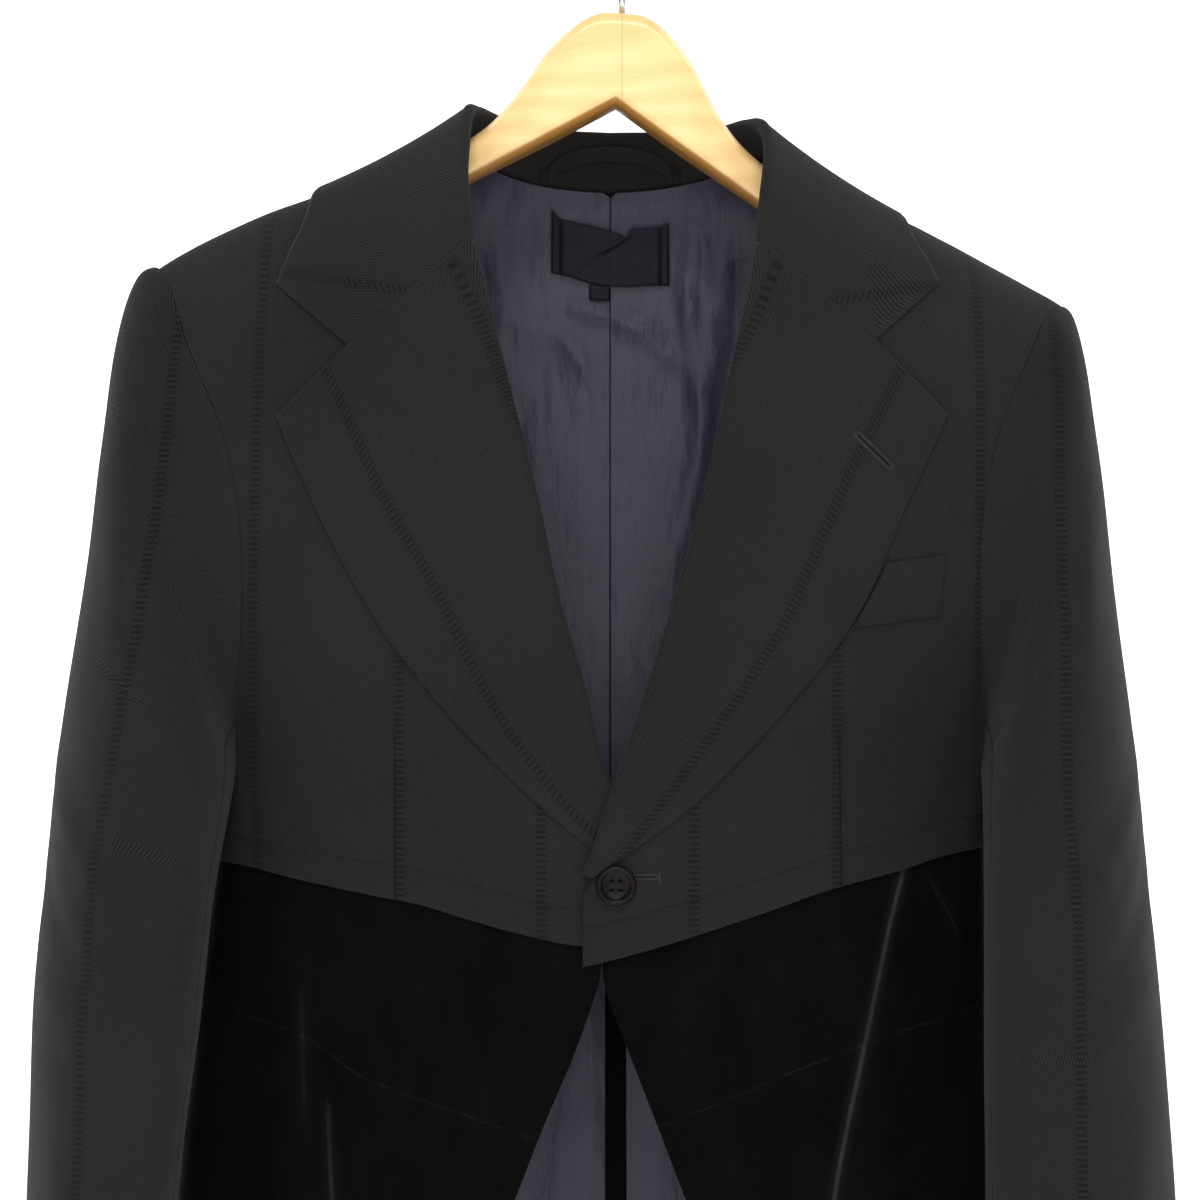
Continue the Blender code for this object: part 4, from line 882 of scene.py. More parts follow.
def strip_uv(grid):
    """Cloth coordinates of a free strip: along its rows and down its mean column."""
    out = []
    v = 0.0
    half = len(grid[0]) // 2
    for i, line in enumerate(grid):
        if i:
            v -= length(sub(line[half], grid[i - 1][half]))
        u = 0.0
        row = [(u, v)]
        for a, b in zip(line, line[1:]):
            u += length(sub(b, a))
            row.append((u, v))
        out.append(row)
    return out


def side_fill(x, z):
    """How far the side seams stand out beside the sleeves, so that nothing shows through."""
    part = ease((abs(x) / width_at(x, z) - 0.9) / 0.1)
    return part * look_up(SIDE_FILL, z, side_column(x))


def stripe_marks(grid, table):
    """Stripe places of a panel, with a free second channel."""
    return each(grid, lambda p: (stripe_place(p[0], p[2], table), 0.0))


def front_marks(grid, sign):
    """Stripe place, and the way across the dart's line, for a front panel."""
    start, slope = DARTS[sign]

    def mark(p):
        away = p[0] - start - slope * (p[2] - DART_HEIGHT)
        return (stripe_place(p[0], p[2], BODY_STRIPES), DART_MARK + min(max(away, -20.0), 20.0))
    return each(grid, mark)


def measure(grid):
    """Width, length and area of a cut, from the cloth's middle surface, in metres."""
    wide = 0.0
    for line in grid:
        wide = max(wide, sum(length(sub(b, a)) for a, b in zip(line, line[1:])))
    long = 0.0
    for j in range(len(grid[0])):
        long = max(long, sum(length(sub(grid[i + 1][j], grid[i][j])) for i in range(len(grid) - 1)))
    area = 0.0
    for i in range(len(grid) - 1):
        for j in range(len(grid[0]) - 1):
            a, b = grid[i][j], grid[i][j + 1]
            c, d = grid[i + 1][j + 1], grid[i + 1][j]
            area += length(cross(sub(c, a), sub(d, b))) / 2
    return wide * MM, long * MM, area * MM * MM


def new_object(name, verts, faces, mat):
    """Smooth mesh object of one material, from points in millimetres."""
    mesh = bpy.data.meshes.new(name)
    mesh.from_pydata([(x * MM, y * MM, z * MM) for x, y, z in verts], [], faces)
    mesh.materials.append(mat)
    mesh.polygons.foreach_set("use_smooth", [True] * len(mesh.polygons))
    shown = name + "_look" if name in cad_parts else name
    obj = bpy.data.objects.new(shown, mesh)
    bpy.context.scene.collection.objects.link(obj)
    return obj


def make_object(name, verts, faces, mat, layers=None):
    """Closed piece of the part; layers are UV maps by name, one pair for each point."""
    if enclosed(verts, faces) < 0.0:
        faces = [tuple(reversed(f)) for f in faces]
    obj = new_object(name, verts, faces, mat)
    for layer_name, pairs in (layers or {}).items():
        layer = obj.data.uv_layers.new(name=layer_name)
        flat = []
        for loop in obj.data.loops:
            flat.extend(pairs[loop.vertex_index])
        layer.data.foreach_set("uv", flat)
    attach(obj, "root")
    MADE[name] = obj
    return obj


def wall(name, grid, outer, inner, mat, normals, uv, marks=None, relief=None, thin=None, creases=None):
    """Closed cloth wall between two offsets of one grid, with relief on both layers alike."""
    rows = len(grid)
    cols = len(grid[0])
    if relief is not None:
        grid = [
            [shift(grid[i][j], normals[i][j], relief(grid[i][j], i, j)) for j in range(cols)]
            for i in range(rows)
        ]
    if not isinstance(outer, list):
        outer, inner = [[[d] * cols] * rows for d in (outer, inner)]
    verts = []
    middle = [[] for _ in grid]
    for layer, (lift, other) in enumerate(((outer, inner), (inner, outer))):
        for i in range(rows):
            for j in range(cols):
                d = lift[i][j]
                o = other[i][j]
                if thin is not None:
                    # the edges of the cloth round off
                    d = mix(d, (d + o) / 2, thin(i, j))
                verts.append(tilt(shift(grid[i][j], normals[i][j], d)))
                if layer == 0:
                    middle[i].append(shift(grid[i][j], normals[i][j], (d + o) / 2))
    layers = {}
    for layer, pairs in (("cloth", uv), ("marks", marks), ("creases", creases)):
        if pairs is not None:
            flat = [pair for line in pairs for pair in line]
            layers[layer] = flat + flat
    make_object(name, verts, wall_faces(grid), mat, layers)
    CUTS[name] = measure(middle)


def wall_faces(grid):
    """Faces of both layers of a wall, split along the shorter diagonals, and of its rim."""
    rows = len(grid)
    cols = len(grid[0])
    base = rows * cols
    faces = []
    for i in range(rows - 1):
        for j in range(cols - 1):
            a = i * cols + j
            b, c, d = a + 1, a + cols + 1, a + cols
            if length(sub(grid[i][j], grid[i + 1][j + 1])) < length(sub(grid[i][j + 1], grid[i + 1][j])):
                halves = ((a, b, c), (a, c, d))
            else:
                halves = ((a, b, d), (b, c, d))
            for p, q, r in halves:
                faces.append((p, q, r))
                faces.append((base + r, base + q, base + p))
    rim = list(range(cols))
    rim += [i * cols + cols - 1 for i in range(1, rows)]
    rim += [(rows - 1) * cols + j for j in range(cols - 2, -1, -1)]
    rim += [i * cols for i in range(rows - 2, 0, -1)]
    for a, b in zip(rim, rim[1:] + rim[:1]):
        faces.append((b, a, base + a, base + b))
    return faces


def leaf_thin(rows, cols, notch, both):
    """Closing of a lapel's or the collar's edges; the seam between them, up to the notch, stays full."""
    def thin(i, j):
        if i == 0 or (both and i == rows - 1):
            return EDGE_CLOSE if j > notch else 0.0
        return EDGE_CLOSE if j in (0, cols - 1) or i == rows - 1 else 0.0
    return thin


def edge_thin(rows, cols, sides):
    """How much the cloth closes at its four edges: top, bottom, first and last column."""
    def thin(i, j):
        there = (i == 0, i == rows - 1, j == 0, j == cols - 1)
        return EDGE_CLOSE if any(on and at for on, at in zip(sides, there)) else 0.0
    return thin


def panel(name, grid, outer, inner, mat, side, sides, marks=None, more=None, creases=None):
    """Wall laid on the body, with its shared folds and maybe more relief; sides are edges that close."""
    def relief(p, i, j):
        folds = drape(p[0], p[2], side)
        return folds + more(p[0], p[2]) if more else folds
    thin = edge_thin(len(grid), len(grid[0]), sides)
    normals = body_normals(grid, side)
    wall(name, grid, outer, inner, mat, normals, body_uv(grid), marks, relief, thin, creases)


def ring_faces(count, sides, start=0, closed=False):
    """Faces round a run of rings of points, with caps at its ends unless it is closed."""
    faces = []
    for i in range(count if closed else count - 1):
        low = start + i * sides
        high = start + (i + 1) % count * sides
        for j in range(sides):
            k = (j + 1) % sides
            faces.append((low + j, low + k, high + k, high + j))
    if not closed:
        last = start + (count - 1) * sides
        faces.append(tuple(reversed(range(start, start + sides))))
        faces.append(tuple(range(last, last + sides)))
    return faces


def tube(name, rings, mat, closed=False):
    """Closed solid through a list of rings of points."""
    verts = [p for ring in rings for p in ring]
    return make_object(name, verts, ring_faces(len(rings), len(rings[0]), 0, closed), mat)


def meet(edge, z_of):
    """Where a row of heights z_of meets an edge given over height, found by halving."""
    low = -BODY_REACH
    high = BODY_REACH
    for _ in range(36):
        x = (low + high) / 2
        if edge(z_of(x)) > x:
            low = x
        else:
            high = x
    return (low + high) / 2


def row_points(x_in, x_out, z_of, side, cols):
    """One row across a body panel; x_in and x_out are functions of height, z_of of x."""
    a = meet(x_in, z_of)
    b = meet(x_out, z_of)
    ends = []
    for x in (a, b):
        share = min(abs(x) / width_at(x, z_of(x)), 1.0)
        ends.append(math.copysign(math.asin(share), x))
    line = []
    for j in range(cols):
        share = math.sin(mix(ends[0], ends[1], j / (cols - 1)))
        x = mix(a, b, j / (cols - 1))
        for _ in range(8):
            x = share * width_at(share, z_of(x))
        if j == 0:
            x = a
        if j == cols - 1:
            x = b
        z = z_of(x)
        line.append((x, side * max(depth_at(x, z, side), CLOSED), z))
    return line


def body_normals(grid, side):
    """Body normals at the points of a panel's grid, evened out with their neighbours."""
    plain = [[body_normal(p, side) for p in line] for line in grid]
    rows = len(grid)
    cols = len(grid[0])
    out = []
    for i in range(rows):
        line = []
        for j in range(cols):
            total = tuple(2.0 * v for v in plain[i][j])
            for a, b in ((i - 1, j), (i + 1, j), (i, j - 1), (i, j + 1)):
                near = plain[min(max(a, 0), rows - 1)][min(max(b, 0), cols - 1)]
                total = shift(total, near, 0.5)
            if abs(grid[i][j][0]) < 1.0:
                total = (0.0, total[1], total[2])
            line.append(unit(total))
        out.append(line)
    return out


def body_rows(low_z, lower_rows, band=None):
    """Height functions of a wool panel's rows, with close ones at the hem band's stitches."""
    rows = []
    for turn in finer(CAP_TURNS, CAP_STEPS):
        drop = CAP_HEIGHT * (1.0 - math.sin(math.radians(turn)))
        rows.append(lambda x, d=drop: shoulder_z(x) - d)

    def stop(x):
        return low_z(x) + 1.35 * band(x) if band else low_z(x)
    for k in range(1, lower_rows + 1):
        rows.append(lambda x, t=k / lower_rows, d=drop: mix(shoulder_z(x) - d, stop(x), t))
    for part in BAND_ROWS if band else ():
        rows.append(lambda x, t=part: low_z(x) + t * band(x))
    return rows


def side_edge(sign, column):
    """Outer edge of a panel: the armhole above the underarm, the side seam below it."""
    def edge(z):
        if z > UNDERARM_Z:
            return sign * look_up(ARMHOLE, z, column)
        return sign * width_at(sign, z)
    return edge


def neck_room(z):
    """How far a front's inner edge stands off the roll line."""
    return NECK_ROOM + NECK_ROOM_MORE * ease((z + 192.0) / 18.0)


def lap_lift(x, z):
    """The right front stands out where it laps over the left one."""
    return LAP_LIFT * ease((LAP_X - x) / LAP_X_SPAN) * ease((LAP_Z - z) / LAP_Z_SPAN)


def front_edge(sign):
    """Inner edge of a front: beside the lapel's roll, then its own edge below the roll's end."""
    end, free, span = FRONT_EDGES[sign]

    def edge(z):
        beside = look_up(ROLLS[sign], max(z, end)) + sign * neck_room(z)
        return mix(beside, free, ease((end - z) / span))
    return edge


def no_lift(x, z):
    return 0.0


def hem_left(x):
    return look_up(HEM_LEFT, x)


def hem_right(x):
    return look_up(HEM_RIGHT, x)


def hem_back(x):
    return BACK_HEM_Z + 4.0 * ease(abs(x) / 180.0)


def lifts(grid, lift_of, extra=0.0):
    """Offsets at the points of a grid from a function of x and z."""
    return each(grid, lambda p: lift_of(p[0], p[2]) + extra)


def band_left(x):
    """Width of the left front's hem band."""
    return 13.0 + 4.5 * ease((x + 190.0) / 120.0)


def band_right(x):
    return 18.5 - 3.0 * ease(x / 150.0)


# what the fronts differ in: the word in their names, hem, width of its band, how far they stand out
FRONTS = {-1: ("left", hem_left, band_left, no_lift), 1: ("right", hem_right, band_right, lap_lift)}


def hem_relief(low_z, band):
    """The groove of the stitches over the hem, and the band a little fuller below it."""
    def relief(x, z):
        part = (z - low_z(x)) / band(x)
        groove = -0.75 * math.exp(-(((part - 1.0) * band(x) / 1.1) ** 2))
        full = 0.45 * ease(part / 0.2) * ease((0.97 - part) / 0.3) if part < 1.0 else 0.0
        return groove + full
    return relief


def build_fronts(wool):
    for sign, (word, low, band, lift_of) in FRONTS.items():
        rows = body_rows(low, FRONT_ROWS, band)
        grid = [row_points(front_edge(sign), side_edge(sign, 1), z_of, -1, FRONT_COLS) for z_of in rows]
        sewn = hem_relief(low, band)
        outer = lifts(grid, lambda x, z: lift_of(x, z) + sewn(x, z))
        inner = lifts(grid, lift_of, -WOOL)
        sides = (False, True, True, False)
        panel("front_" + word, grid, outer, inner, wool, -1, sides, front_marks(grid, sign))


def neck_back_edge(sign, rise):
    """Inner edge of a back half: the centre-back seam, then the back neck seam above it."""
    def edge(z):
        t = clamp((z - BACK_NECK_Z - rise) / (NECK_RISE - rise))
        return sign * max(-CLOSED, NECK_X * math.sqrt(t))
    return edge


def back_grid(sign, rise=0.0):
    """Points of one back half, from the shoulder to the hem of the wool."""
    rows = body_rows(hem_back, BACK_ROWS)
    return [row_points(neck_back_edge(sign, rise), side_edge(sign, 2), z_of, 1, BACK_COLS) for z_of in rows]


def skirt_grid(sign, low, edge, side, cols, hem):
    """Points of one skirt, from under the wool down to its own hem."""
    rows = [lambda x: low(x) + VELVET_OVERLAP]
    for share in finer(SKIRT_SHARES, SKIRT_STEPS)[:-1]:
        rows.append(lambda x, t=share: mix(low(x), SKIRT_HEM_Z, t))
    rows.append(lambda x: hem)
    return [row_points(edge, side_edge(sign, side_column(side)), z_of, side, cols) for z_of in rows]


def build_backs(wool):
    for sign, word in SIDES:
        grid = back_grid(sign)
        sides = (False, True, False, False)
        marks = stripe_marks(grid, BODY_STRIPES)
        panel("back_" + word, grid, 0.0, -WOOL, wool, 1, sides, marks, back_seam)


def back_seam(x, z):
    """The centre-back seam sinks in a little."""
    return -0.5 * math.exp(-((x / 3.0) ** 2))


def roll_direction(roll, z, sign):
    """Direction across the roll line, toward the middle of the opening, as x and z."""
    slope = (look_up(roll, z + 4.0) - look_up(roll, z - 4.0)) / 8.0
    size = math.sqrt(1.0 + slope * slope)
    return (-sign / size, sign * slope / size)


def lapel_point(roll, out, notch, share, blend):
    """Place of a lapel point as x and z, from the roll's to the edge's; the top row bends at the notch."""
    knee = NOTCH_COL / LAPEL_COLS
    if share <= knee:
        bent = mix(roll, notch, share / knee)
    else:
        bent = mix(notch, out, (share - knee) / (1.0 - knee))
    return mix(bent, mix(roll, out, share), blend)


def roll_arc(turn):
    """How far out and how high a point of the roll lies at a turn."""
    t = math.radians(turn)
    return ROLL_RADIUS * math.cos(t), ROLL_LIFT + ROLL_RADIUS * math.sin(t)


def leaf_lift(share, laid):
    """Height of the leaf over the cloth under it, coming down from the roll."""
    return mix(ROLL_LIFT + ROLL_RADIUS, laid, ease(share / ROLL_FADE))


def lapel_grid(sign, roll, edge, lift_of):
    """Middle surface of a lapel: its roll, then the leaf laid on the front."""
    grid = []
    arcs = list(zip(finer(ROLL_TURNS, ROLL_STEPS), finer(ROLL_TURNS_LOW, ROLL_STEPS)))
    for i in range(LAPEL_ROWS + 1):
        s = i / LAPEL_ROWS
        z = mix(LAPEL_ENDS[sign][0], LAPEL_ENDS[sign][1], s)
        x = look_up(roll, z)
        dx, dz = roll_direction(roll, z, sign)
        # the foot of the left lapel goes on under the right front
        under = ease((s - FOOT_UNDER[0]) / FOOT_UNDER[1]) if sign < 0 else 0.0
        places = []
        for first, last in arcs:
            # near its lower end the roll opens and lies wholly over the front
            out, lift = roll_arc(mix(first, last, ease((s - ROLL_OPENS[0]) / ROLL_OPENS[1])))
            places.append((x + dx * out, z + dz * out, lift))
        for j in range(LAPEL_COLS + 1):
            r = j / LAPEL_COLS
            px, pz = lapel_point((x, z), look_up_row(edge, s), NOTCH[sign], r, ease(s * 3.0))
            places.append((px, pz, leaf_lift(r, LAPEL_LIFT)))
        grid.append([on_body(px, pz, -1, mix(lift, FOOT_LIFT, under) + lift_of(px, pz))
                     for px, pz, lift in places])
    return grid


def build_lapels(wool):
    """Both lapels; returns their top edges, where the collar meets them."""
    half = LAPEL / 2
    sets = (
        (-1, FOOT_ROLL_LEFT + ROLL_LEFT[1:], LAPEL_EDGE_LEFT),
        (1, FOOT_ROLL_RIGHT + ROLL_RIGHT[1:], LAPEL_EDGE_RIGHT),
    )
    gorges = {}
    for sign, roll, edge in sets:
        word, _, _, lift_of = FRONTS[sign]
        grid = lapel_grid(sign, roll, edge, lambda x, z: lift_of(x, z) + drape(x, z, -1))
        gorges[sign] = grid[0]
        marks = stripe_marks(grid, LAPEL_STRIPES[sign])
        thin = leaf_thin(len(grid), len(grid[0]), len(grid[0]) - 1 - LAPEL_COLS + NOTCH_COL, False)
        normals = grid_normals(grid, float(-sign))
        wall("lapel_" + word, grid, half, -half, wool, normals, strip_uv(grid), marks, None, thin)
    return gorges


def collar_line(share, sign):
    """One section of the collar: stand, roll and fall."""
    foot = mirror(look_up_row(COLLAR_FOOT, share), sign)
    foot = (foot[0] + COLLAR_OFF * (1.0 - share), foot[1], foot[2])
    roll = mirror(look_up_row(COLLAR_ROLL, share), sign)
    roll = (roll[0] + collar_shift(share, sign), roll[1], roll[2])
    top = unit(look_up_row(COLLAR_LEAN, share, 1, 3))
    out = square_to(look_up_row(COLLAR_LEAN, share, 4, 6), top)
    top = mirror(top, sign)
    out = mirror(out, sign)
    middle = shift(roll, top, -ROLL_RADIUS)
    start = shift(middle, out, -ROLL_RADIUS)
    line = [mix(foot, start, k / STAND_STEPS) for k in range(STAND_STEPS)]
    for turn in finer(ROLL_TURNS, ROLL_STEPS):
        t = math.radians(turn)
        line.append(shift(shift(middle, top, ROLL_RADIUS * math.cos(t)), out, ROLL_RADIUS * math.sin(t)))
    begin = shift(middle, out, ROLL_RADIUS)
    leaf_x = sign * look_up(COLLAR_LEAF, share, 1) - 1.3 * (1.0 - share)
    leaf = over_shoulder(leaf_x, look_up(COLLAR_LEAF, share, 2), COLLAR_LIFT)
    rise = square_to(shift(top, out, 1.0), unit(sub(leaf, begin)))
    handle = shift(mix(begin, leaf, 0.5), rise, FALL_BULGE)
    for j in range(FALL_COLS + 1):
        r = j / FALL_COLS
        free = mix(mix(begin, handle, r), mix(handle, leaf, r), r)
        if share < COLLAR_LAID:
            ends = (begin[0], begin[2]), (leaf_x, leaf[2])
            px, pz = lapel_point(ends[0], ends[1], NOTCH[sign], r, ease(share / 0.12))
            laid = on_body(px, pz, -1, leaf_lift(r, COLLAR_LIFT))
            free = mix(laid, free, ease(share / 0.28))
        line.append(free)
    if share < COLLAR_LAID:
        for k, laid in enumerate(collar_laid(share, sign)):
            line[k] = mix(laid, line[k], ease(share / 0.2))
    return line


def collar_shift(share, sign):
    """How far the collar's roll stands to the right of its table's place."""
    spread = math.sin(math.pi * min(max(share - 0.1, 0.0) / 0.5, 1.0)) ** 2
    return COLLAR_OFF * (1.0 - share) + (COLLAR_SPREAD * spread if sign > 0 else 0.0)


def collar_laid(share, sign):
    """The stand and roll of the collar as the lapel has them, for its front end."""
    x = sign * look_up(COLLAR_ROLL, share, 1) + collar_shift(share, sign)
    z = look_up(COLLAR_ROLL, share, 3)
    dx, dz = roll_direction(ROLLS[sign], min(z, -180.0), sign)
    places = [(-1.5 + 1.5 * k / STAND_STEPS, ROLL_LIFT - ROLL_RADIUS) for k in range(STAND_STEPS)]
    places += [roll_arc(turn) for turn in finer(ROLL_TURNS, ROLL_STEPS)]
    return [on_body(x + dx * out, z + dz * out, -1, lift) for out, lift in places]


def meet_gorge(grid, first, step, edge, notch):
    """Bring one end of the collar onto the lapel's top edge, easing off behind it and past the notch."""
    turns = len(edge) - LAPEL_COLS - 1
    free = list(grid[first])
    for j in range(len(free)):
        fall = j - STAND_STEPS - turns
        place = fall * NOTCH_COL / (notch - STAND_STEPS - turns) + turns if fall > 0 else j - STAND_STEPS
        place = min(max(place, 0.0), turns + float(NOTCH_COL))
        k = min(int(place), len(edge) - 2)
        target = mix(edge[k], edge[k + 1], place - k)
        at = min(max(j, STAND_STEPS), notch)
        move = shift(sub(target, free[at]), (0.0, 0.0, 1.0), GORGE_SEAM)
        beyond = 1.0 - ease((STAND_STEPS - j) / 4.0) if j < STAND_STEPS else 1.0 - ease((j - notch) / 9.0)
        for n in range(GORGE_ROWS):
            share = beyond * (1.0 - ease(n / GORGE_ROWS))
            grid[first + step * n][j] = shift(grid[first + step * n][j], move, share)


def collar_mark(p):
    """Stripe mark at one end of the collar."""
    (x0, z0), (x1, z1) = COLLAR_STRIPES[0 if p[0] < 0 else 1]
    return lone_stripe(((x1 - x0) * (p[2] - z0) - (z1 - z0) * (p[0] - x0)) / math.hypot(x1 - x0, z1 - z0))


def build_collar(wool, gorges):
    shares = finer(COLLAR_SHARES, COLLAR_STEPS)
    grid = [collar_line(share, -1) for share in shares]
    grid += [collar_line(share, 1) for share in reversed(shares[:-1])]
    half = COLLAR_WALL / 2
    cols = len(grid[0])
    notch = cols - 1 - FALL_COLS + FALL_COLS * NOTCH_COL // LAPEL_COLS
    # both ends meet the lapels along the gorge
    meet_gorge(grid, 0, 1, gorges[-1], notch)
    meet_gorge(grid, len(grid) - 1, -1, gorges[1], notch)
    uv = [[(v, u) for u, v in line] for line in strip_uv(grid)]
    thin = leaf_thin(len(grid), cols, notch, True)
    normals = grid_normals(grid, -1.0)
    wall("collar", grid, half, -half, wool, normals, uv, each(grid, collar_mark), None, thin)


def armhole_point(sign, turn):
    """Point of the armhole seam; the turn runs from the shoulder over the front."""
    middle = (SHOULDER_Z + UNDERARM_Z) / 2
    z = middle + (SHOULDER_Z - UNDERARM_Z) / 2 * math.cos(turn)
    side = -1 if math.sin(turn) >= 0 else 1
    x = sign * look_up(ARMHOLE, z, side_column(side))
    # at the very top the sleeve laps over the edge, so that no light shows there
    gap = mix(ARMHOLE_GAP, ARMHOLE_LAP, ease((z - SHOULDER_Z + 20.0) / 8.0))
    return (x + sign * gap, side * depth_at(x, z, side), z)


def sleeve_point(sign, row, turn):
    """Point of a sleeve's outer face on one ring of its table."""
    out_x, out_z, in_x, in_z, mid_y, half_y, own = row
    c = signed_power(math.cos(turn), 2.0 / SLEEVE_POWER)
    s = signed_power(math.sin(turn), 2.0 / SLEEVE_POWER)
    half_x = (out_x - in_x) / 2
    lean = SLEEVE_SKEW * 2.0 * half_x / math.hypot(out_x - in_x, out_z - in_z)
    narrow = math.sqrt(1.0 - (lean / half_x) ** 2)
    x = (out_x + in_x) / 2 + half_x * narrow * c - lean * s
    z = (out_z + in_z) / 2 + (out_z - in_z) / 2 * c
    tube_point = (x, mid_y - half_y * s, z)
    if own >= 1.0:
        return tube_point
    return mix(armhole_point(sign, turn), tube_point, own)


def sleeve_turns():
    """Turns of the upper piece and of the under piece, with a seam gap between them."""
    front = SLEEVE_SEAM_FRONT
    back = SLEEVE_SEAM_BACK
    upper = [math.radians(mix(back, front, j / (UPPER_COLS - 1))) for j in range(UPPER_COLS)]
    under = [math.radians(mix(front, back + 360.0, j / (UNDER_COLS - 1))) for j in range(UNDER_COLS)]
    return upper, under


def close_gap(grid, gap):
    """Draw both long edges of a strip in by half a seam gap."""
    for line in grid:
        first = unit(sub(line[1], line[0]))
        last = unit(sub(line[-2], line[-1]))
        line[0] = shift(line[0], first, gap / 2)
        line[-1] = shift(line[-1], last, gap / 2)


def sleeve_relief(share, turn):
    """Folds of a sleeve at a share of its length and a turn in degrees."""
    total = 0.0
    for s0, t0, s1, t1, wide, high in SLEEVE_FOLDS:
        fold = (t0, s0 * SLEEVE_LENGTH, t1, s1 * SLEEVE_LENGTH, wide, high)
        for a in (turn, turn - 360.0):
            total += near_fold(a, share * SLEEVE_LENGTH, fold)
    total += 0.4 * math.sin(share * 41.0 + 1.3 * math.sin(turn / 23.0)) * math.sin(turn / 19.0)
    # nothing stands out toward the body, and the cap stays smooth
    inner = ease((abs(turn) - 128.0) / 30.0) if turn < 190.0 else ease((232.0 - turn) / 30.0)
    total = mix(total, min(total, 0.0) - 0.3, inner)
    return total * ease((share - 0.05) / 0.1)


def build_sleeves(wool):
    upper, under = sleeve_turns()
    turns = upper[:-1] + under[:-1]
    count = len(turns)
    cut = UPPER_COLS - 1
    for sign, rows, name in ((-1, SLEEVE_LEFT, "sleeve_left"), (1, SLEEVE_RIGHT, "sleeve_right")):
        keyed = [(k,) + row for k, row in enumerate(rows)]
        tube_rows = []
        shares = []
        for i in range(SLEEVE_STEPS * (len(rows) - 1) + 1):
            row = look_up_row(keyed, i / SLEEVE_STEPS)
            row = row[:6] + (clamp(row[6]),)
            tube_rows.append([sleeve_point(sign, row, t) for t in turns])
            shares.append(clamp((-row[1] + SLEEVE_TOP_Z) / SLEEVE_DROP))
        around = grid_normals(tube_rows, float(sign), True)
        pieces = (("_upper", range(0, cut + 1), upper), ("_under", range(cut, count + 1), under))
        for tail, columns, own in pieces:
            grid = [[line[j % count] for j in columns] for line in tube_rows]
            normals = [[line[j % count] for j in columns] for line in around]
            close_gap(grid, SLEEVE_SEAM_GAP)
            degrees = [math.degrees(t) for t in own]
            wall(
                name + tail, grid, 0.0, -SLEEVE_WALL, wool, normals, body_uv(grid),
                each(grid, lambda p: lone_stripe(p[0] - look_up(SLEEVE_STRIPES[sign], p[2]))),
                lambda p, i, j: sleeve_relief(shares[i], degrees[j]),
                edge_thin(len(grid), len(degrees), (True, True, False, False)),
            )


def build_velvets(velvet, pressed):
    sides = (True, True, True, False)
    outer = -VELVET_LIFT_FRONT
    for sign, (word, low, _, _) in FRONTS.items():
        edge = lambda z: look_up(CUTAWAY, z, side_column(sign))
        grid = skirt_grid(sign, low, edge, -1, SKIRT_FRONT_COLS, SKIRT_HEM_Z)
        marks = each(grid, lambda p: (p[2] - look_up(CREASE_ACROSS[sign], p[0]), 0.0))
        creases = each(grid, lambda p: tuple(p[0] - place for place in look_up_row(CREASES[sign], p[2])))
        panel(
            "velvet_front_" + word, grid, outer, outer - VELVET, pressed[sign], -1, sides, marks, None,
            creases,
        )
    outer = -VELVET_LIFT_BACK
    for sign, word in SIDES:
        grid = skirt_grid(sign, hem_back, vent_edge(sign), 1, BACK_COLS, SKIRT_HEM_Z)
        panel("velvet_back_" + word, grid, outer, outer - VELVET, velvet, 1, sides)


def vent_edge(sign):
    """Inner edge of a back skirt: the centre seam, then the open vent."""
    def edge(z):
        return sign * mix(-CLOSED, 2 * SEAM_GAP, ease((VENT_TOP_Z - z) / 30.0))
    return edge


def lining_lift(x, z):
    step = ease((LINING_STEP_Z - z) / LINING_STEP_SPAN)
    return -mix(LINING_LIFT_TOP, LINING_LIFT_SKIRT, step) - lining_wrinkle(x, z)


def lining_seam(x, z):
    """The lining's centre seam stands out a little."""
    return 0.3 * math.exp(-((x / 3.0) ** 2))


def build_linings(satin, velvet):
    halves = []
    leave = len(finer(CAP_TURNS, CAP_STEPS)) + int(BACK_ROWS * LINING_SHARE)
    for sign, word in SIDES:
        above = back_grid(sign, LINING_RISE)
        below = skirt_grid(sign, hem_back, vent_edge(sign), 1, BACK_COLS, LINING_HEM_Z)
        grid = above[LINING_FIRST_ROW:leave] + below
        # a close second column keeps the shading even up to the centre seam
        grid = [[line[0], mix(line[0], line[1], 0.12)] + line[1:] for line in grid]
        outer = lifts(grid, lining_lift)
        inner = lifts(grid, lining_lift, -LINING)
        sides = (True, True, False, False)
        panel("lining_" + word, grid, outer, inner, satin, 1, sides, None, lining_seam)
        halves.append(grid)
    # the strip lies on the first cells of both halves
    grid = []
    for left, right in zip(halves[0], halves[1]):
        if left[0][2] <= VENT_TOP_Z + VENT_ABOVE:
            z = mix(left[0], right[0], 0.5)[2]
            across = [mix(VENT_LEFT_X, VENT_RIGHT_X, k / 8) for k in range(9)]
            grid.append([(x, depth_at(x, z, 1), z) for x in across])
    lift = -(LINING_LIFT_SKIRT + LINING + LAID_GAP)
    panel("vent_facing", grid, lift, lift - VENT_THICK, velvet, 1, ALL_SIDES)


def back_patch(name, x_low, x_high, z_high, z_low, cols, mat, relief, droop):
    """Small cloth patch on the inner face of the back."""
    def point(down, across):
        x = mix(x_low, x_high, across)
        z = patch_z(x, z_high, z_low, down, droop)
        return (x, depth_at(x, z, 1), z)
    rows = max(int(abs(z_high - z_low) / 1.2), 6) + 1
    grid = make_grid(rows, cols, point)
    panel(name, grid, -LAID_DEPTH, -LAID_DEPTH - LABEL_THICK, mat, 1, ALL_SIDES, None, relief)


